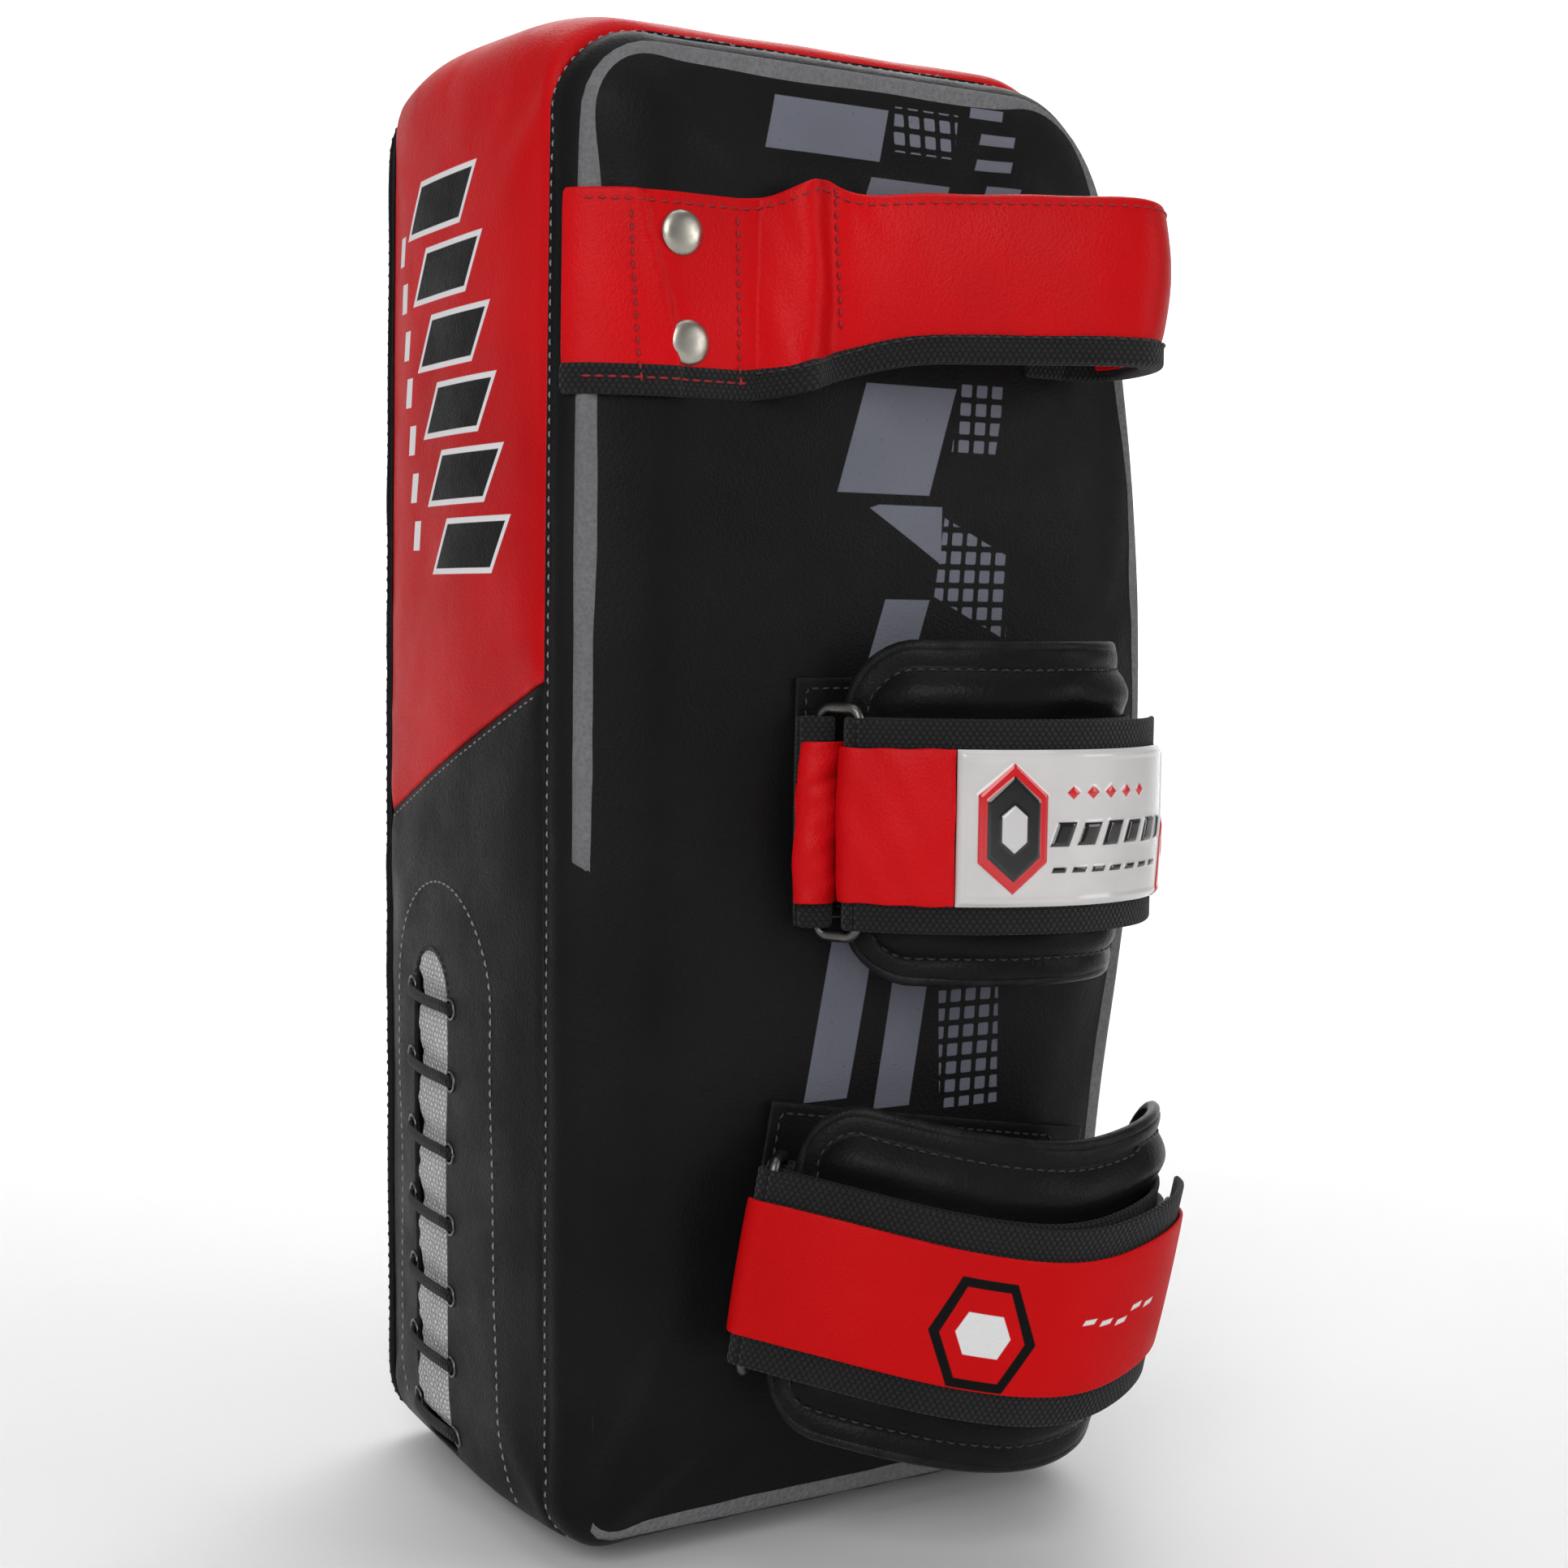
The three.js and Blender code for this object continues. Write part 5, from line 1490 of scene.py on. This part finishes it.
    # Red cover sewn over the tab.
    if cfg["tab_cover"]:
        top = respace(np.array([(inner[0] + side * (length + 0.5), foot_y - 1.4)]
                               + tab_line[::-1][:14]), 0.7)
        cover = strip(f"{name}_tab_cover_leather", top,
                      slab(centre - face - 1, centre + face + 1, 1.1, 2.2, rows=60, crown=0.5), "red",
                      shape=shape)
        p = points_of(cover)
        z = p[:, 2] - centre
        ruffle = 0.30 * np.sin(z * 0.36 + p[:, 0] * 0.3) + 0.12 * np.sin(z * 0.9 - p[:, 0] * 0.5)
        ruffle -= 0.8 * np.exp(-((z - 11.5 - 0.35 * (p[:, 0] - inner[0])) / 1.7) ** 2)
        p[:, 1] -= ruffle + 0.4
        p[:, 0] += z * 0.05 + 0.35 * np.sin(z * 0.30 + 1.1)
        set_points(cover, p)
        bake(cover, ("SUBSURF", {"levels": 1, "render_levels": 1}))
        finish_piece(cover, "pad", [f"{name}_tab_cover"])

    # Strap: fold round the outer bar, under layer of the arch, and the foot sewn down on the far side.
    start = math.atan2(arch[1][1] - arch[0][1], arch[1][0] - arch[0][0])
    under = offset(arch, -FOLD_RADIUS)
    base = fold(outer, start - PI / 2, -PI)
    base_line = np.vstack([base,
                           catmull([tuple(p) for p in under[6::14]]
                                   + [(x, foot_y - l) for x, l in cfg["foot"]], 1.3)])
    strap = strip(f"{name}_strap_webbing", respace(base_line, 1.2), web_section, "webbing", shape=shape)
    finish_piece(strap, "pad", [f"{name}_strap"])
    loop_tape = strip(f"{name}_loop_tape_pile", span(0.3, 0.9),
                      slab(centre - face - 3, centre + face + 3, -2.3, -0.15, rows=8), "loop",
                      shape=shape)
    finish_piece(loop_tape, "pad", [f"{name}_loop_tape"])

    # Padded cuff against the forearm, with piping and a sewn flange.
    s0, s1 = cfg["cuff_s"]
    z0, z1 = cfg["cuff_z"]
    mid, half = -8.8, 3.5
    bulge = lambda z: cfg["lobe"] * float(smooth_step(abs(z - centre), web - 1, web + 8))
    cuff, rim, seam, n_ring = pillow(f"{name}_cuff_cover", "cuff", frame_at, s0, s1, centre + z0,
                                     centre + z1, cfg["cuff_radius"], mid, half, bulge)
    swell(cuff, range(n_ring), cap=1.4, pressure=3.0)
    set_points(cuff, shape(points_of(cuff)))
    soften(cuff, 0.35, 21 if name == "upper" else 22, scale=34.0)
    bake(cuff, ("SUBSURF", {"levels": 1, "render_levels": 1}))
    finish_piece(cuff, "pad", [f"{name}_cuff"])
    edge = []
    for s, z in rim:
        (x, y), (nx, ny) = frame_at(s)
        edge.append((x + nx * mid, y + ny * mid, z))
    piping = tube(f"{name}_cuff_piping", shape(np.array(edge)), 1.75, "piping", sides=12, closed=True)
    finish_piece(piping, "pad")
    cuff_tree = tree_of(cuff)
    for label, sign in (("outer", 1), ("inner", -1)):
        row = []
        for s, z in np.vstack([seam, seam[:1]]):
            (x, y), (nx, ny) = frame_at(s)
            row.append((x + nx * (mid + sign * 3), y + ny * (mid + sign * 3), z))
        pts, nrm = hug(shape(np.array(row)), 0.0, cuff_tree)
        stitches(f"stitch_{name}_cuff_{label}", pts, nrm, "pad", "thread_black", pitch=3.3, length=2.3,
                 thick=0.36, sink=0.02)

    # Flap folded back over the arch: hook tape, webbing, coloured facing.
    flap_end = cfg["flap_end"]
    hook = strip(f"{name}_hook_tape_pile", span(0.36, flap_end - 0.03),
                 slab(centre - face - 3, centre + face + 3, 0.15, 2.3, rows=8), "hook", shape=shape)
    finish_piece(hook, flap_body, [f"{name}_hook_tape"])
    flap = strip(f"{name}_flap_webbing", span(GAP / total, flap_end),
                 slab(centre - web, centre + web, 2.6, 4.2, rows=18, edge=0.75), "webbing", shape=shape)
    finish_piece(flap, None, [f"{name}_flap"])
    stations = np.arange(0.0, cfg["facing_end"] * total, 1.0)
    stations[-1] = cfg["facing_end"] * total - 0.3
    wrap = np.radians(np.linspace(-cfg["wrap_deg"], 0, 10)[:-1])
    frames = [frame_at(v) for v in stations]
    n0 = frames[0][1]
    lead = [(arch[0][0] + FACING_LIFT * (n0[0] * math.cos(a) - n0[1] * math.sin(a)),
             arch[0][1] + FACING_LIFT * (n0[0] * math.sin(a) + n0[1] * math.cos(a))) for a in wrap]
    line = np.vstack([lead, [p + n * FACING_LIFT for p, n in frames]])
    along_s = np.r_[wrap * FACING_LIFT, stations]
    flap_cover = strip(f"{name}_flap_facing_cover", line,
                       slab(centre - face, centre + face, -0.6, 0.6, rows=40,
                            crown=cfg["facing_crown"], edge=0.6), cfg["facing_material"])
    layer = flap_cover.data.uv_layers[0]
    uv = np.zeros(len(layer.data) * 2)
    layer.data.foreach_get("uv", uv)
    uv = uv.reshape(-1, 2)
    uv[:, 0] = np.interp(uv[:, 0] / MM, lengths(line), along_s) * MM
    uv[:, 1] -= centre * MM
    layer.data.foreach_set("uv", uv.ravel())
    set_points(flap_cover, shape(points_of(flap_cover)))
    if cfg["facing_ripple"]:
        p = points_of(flap_cover)
        z = p[:, 2] - centre
        wave = np.sin(z * 0.31 + p[:, 0] * 0.25) * np.sin(p[:, 0] * 0.45 + 0.6) * cfg["facing_ripple"]
        set_points(flap_cover, p + normals_of(flap_cover) * wave[:, None])
    finish_piece(flap_cover, None, [f"{name}_flap_facing"])
    root, tip = frame_at(-1.0), frame_at(7.0)
    bend = [shape(np.array([[*(p + n * 3.4), centre]]))[0] * MM for p, n in (root, tip)]
    for piece in (flap, flap_cover):
        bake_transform(piece)
    return {"centre": centre, "face": face, "frame_at": frame_at, "total": total, "shape": shape,
            "flap_body": flap_body}


FACING_LIFT = 5.1
# How far the lower strap dips or rises along its arch, as (x, rise) before it is tilted.
LOWER_CURL = [(-46, 0.0), (-30, -1.4), (-8, -3.3), (10, -3.9), (24, -3.3), (36, -1.2), (48, 2.6),
              (60, 6.6), (72, 8.8), (90, 9.2)]
upper = forearm_strap({
    "name": "upper", "tilt": 0, "pivot": (0, 0), "centre_z": 200.5, "web_half": 28.7, "face_half": 21,
    "inner_x": -23,
    "tab_side": -1, "tab_length": 5.6, "tab_cover": True, "patch": (-28.5, 80), "patch_lift": GAP,
    "patch_z": (-27, 39),
    "arch": [(-17, -91.4), (-4, -103.5), (15, -114), (37, -118), (57, -113), (71, -101), (79, -86)],
    "foot": [(66, 1.4), (60, 0), (44, 0)], "cuff_s": (-5.0, 115.5), "cuff_radius": 19.0,
    "cuff_z": (-43, 48), "lobe": 3.2, "curl": None,
    "flap_end": 0.86, "facing_end": 0.2235, "wrap_deg": 60, "facing_crown": 0.7,
    "facing_material": "red", "facing_ripple": 0.25})
forearm_strap({
    "name": "lower", "tilt": 10, "pivot": (-49, 84), "centre_z": 84, "web_half": 26.3, "face_half": 18,
    "inner_x": -38,
    "tab_side": 1, "tab_length": 20, "tab_cover": False, "patch": (-42, 70), "patch_lift": GAP + 1,
    "patch_z": (-22, 42),
    "arch": [(-46, -91), (-34, -104), (-6, -123), (25, -132), (53, -128), (72, -112.5), (82, -91)],
    "foot": [(67, 1.6), (60, 0.3), (44, 0.3)], "cuff_s": (4.5, 159.0), "cuff_radius": 19.0,
    "cuff_z": (-41, 46), "lobe": 3.2, "curl": LOWER_CURL,
    "flap_end": 0.9, "facing_end": 0.88, "wrap_deg": 60, "facing_crown": 0.35,
    "facing_material": "band", "facing_ripple": 0.0})


# ---- moulded badge -------------------------------------------------------------------------------
def depth_in(points, corners):
    d = np.full(len(points), 1e9)
    corners = ccw(corners)
    for (x0, y0), (x1, y1) in zip(corners, corners[1:] + corners[:1]):
        nx, ny = -(y1 - y0), x1 - x0
        size = math.hypot(nx, ny)
        d = np.minimum(d, ((points[:, 0] - x0) * nx + (points[:, 1] - y0) * ny) / size)
    return d


def relief(sz):
    """Height of the badge's moulded artwork, in millimetres."""
    sz = sz - np.array([UPPER_ART_SHIFT, 0.0])
    best = lambda shapes: np.max([depth_in(sz, c) for c in shapes], 0)
    h = 0.75 * smooth_step(best([BADGE_SHIELD]), -0.6, 0.9)
    h += 0.45 * smooth_step(best([BADGE_SHIELD_CORE]), -0.4, 0.6)
    h += 0.40 * smooth_step(best(BADGE_MARKS), -0.3, 0.5)
    h += 0.75 * smooth_step(best(BADGE_BARS), -0.4, 0.7)
    h += 0.35 * smooth_step(best(BADGE_DIAMONDS + BADGE_LINE), -0.3, 0.4)
    return h + 0.5 * smooth_step(best(BADGE_SLASH), -0.4, 0.8)


BADGE_SPAN, BADGE_STEP, BADGE_BOTTOM, BADGE_TOP = (0.2235, 0.84), 0.45, 4.5, 6.4


def make_badge(strap):
    """The moulded badge on the upper flap: a fine grid raised by its artwork, with a plain back."""
    s = np.arange(BADGE_SPAN[0] * strap["total"], BADGE_SPAN[1] * strap["total"], BADGE_STEP)
    half = strap["face"]
    z = np.r_[-half, -half + 0.25, np.arange(-half + 0.8, half - 0.6, BADGE_STEP), half - 0.25, half]
    S, Z = np.meshgrid(s, z, indexing="ij")
    sz = np.stack([S.ravel(), Z.ravel()], 1)
    border = np.minimum(half - np.abs(sz[:, 1]), np.minimum(sz[:, 0] - s[0], s[-1] - sz[:, 0]))
    top = BADGE_TOP + relief(sz) - 0.9 * (1 - smooth_step(border, 0.0, 1.1))
    top += 0.3 * (1 - smooth_step(np.abs(border - 1.8), 0, 0.9))
    frames = [strap["frame_at"](v) for v in s]
    nz = len(z)
    place, normal = (np.repeat(np.array([f[k] for f in frames]), nz, axis=0) for k in (0, 1))
    low = np.full(len(top), BADGE_BOTTOM)
    outer, inner = (np.column_stack([place + normal * lift[:, None], strap["centre"] + sz[:, 1]])
                    for lift in (top, low))
    n = len(s)
    at = lambda i, j: i * nz + j
    faces = [(at(i, j), at(i + 1, j), at(i + 1, j + 1), at(i, j + 1)) for i in range(n - 1)
             for j in range(nz - 1)]
    base = n * nz
    faces += [tuple(base + v for v in f[::-1]) for f in faces]
    rim = [at(i, 0) for i in range(n)] + [at(n - 1, j) for j in range(1, nz)]
    rim += [at(i, nz - 1) for i in range(n - 2, -1, -1)] + [at(0, j) for j in range(nz - 2, 0, -1)]
    faces += [(a, base + a, base + b, b) for a, b in zip(rim, rim[1:] + rim[:1])]
    flat = np.vstack([sz, sz])
    ob = face_out(make_object("upper_badge_moulding", np.vstack([outer, inner]), faces, "badge",
                              [tuple(flat[v]) for f in faces for v in f]))
    set_points(ob, strap["shape"](points_of(ob)))
    finish_piece(ob, strap["flap_body"], ["upper_badge"])


make_badge(upper)

for label in RIVETS:
    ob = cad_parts[f"rivet_burr_{label}"]
    ob.data.materials.clear()
    ob.data.materials.append(MATERIALS["nickel"])

# ---- floor, light --------------------------------------------------------------------------------
FLOOR_Z = -0.0042
WORLD_STRENGTH = 0.21


def make_stage():
    """A pale floor that curves up into a backdrop behind the pad."""
    bend = [(0.9 + 0.9 * math.sin(a), 0.9 - 0.9 * math.cos(a)) for a in np.linspace(0, PI / 2, 14)]
    profile = [(-3.0, 0.0), (0.9, 0.0), *bend, (1.8, 4.0)]
    verts, faces = [], []
    spin = math.radians(CAMERA_TURN_DEG[2])
    for d, z in profile:
        for w in (-5.0, 5.0):
            verts.append((w * math.cos(spin) - d * math.sin(spin),
                          w * math.sin(spin) + d * math.cos(spin), z + FLOOR_Z))
    for i in range(len(profile) - 1):
        faces.append((2 * i, 2 * i + 1, 2 * i + 3, 2 * i + 2))
    mesh = bpy.data.meshes.new("floor")
    mesh.from_pydata(verts, [], faces)
    mesh.polygons.foreach_set("use_smooth", [True] * len(faces))
    sh = Shader("floor_paper")
    sh.set(Base_Color=sh.mix(sh.noise(sh.object, 3, 2), (0.86, 0.86, 0.86), (0.90, 0.90, 0.90)),
           Roughness=0.9)
    mesh.materials.append(sh.mat)
    ob = bpy.data.objects.new("floor", mesh)
    bpy.context.scene.collection.objects.link(ob)


def area_light(name, place, target, size, power):
    data = bpy.data.lights.new(name, "AREA")
    data.shape, data.size, data.size_y = "RECTANGLE", size[0], size[1]
    data.energy = power
    ob = bpy.data.objects.new(name, data)
    ob.location = place
    ob.rotation_mode = "QUATERNION"
    ob.rotation_quaternion = (Vector(target) - Vector(place)).to_track_quat("-Z", "Y")
    bpy.context.scene.collection.objects.link(ob)


make_stage()
area_light("key", (-1.35, -1.6, 1.2), (0, 0, 0.2), (1.3, 1.7), 27)
area_light("strip_left", (-1.9, -0.1, 0.5), (-0.05, 0, 0.2), (0.9, 1.6), 1.5)
area_light("fill_right", (1.5, -1.6, 0.7), (0.05, -0.05, 0.2), (0.9, 1.2), 9)
area_light("top", (0.1, 0.0, 1.9), (0, 0, 0.2), (1.4, 1.4), 8)
area_light("backdrop", (0.7, 1.0, 1.7), (1.0, 1.9, 0.4), (1.6, 1.0), 30)
world = bpy.data.worlds.new("studio")
world.use_nodes = True
background = world.node_tree.nodes["Background"]
background.inputs["Color"].default_value = (1, 1, 1, 1)
background.inputs["Strength"].default_value = WORLD_STRENGTH
bpy.context.scene.world = world
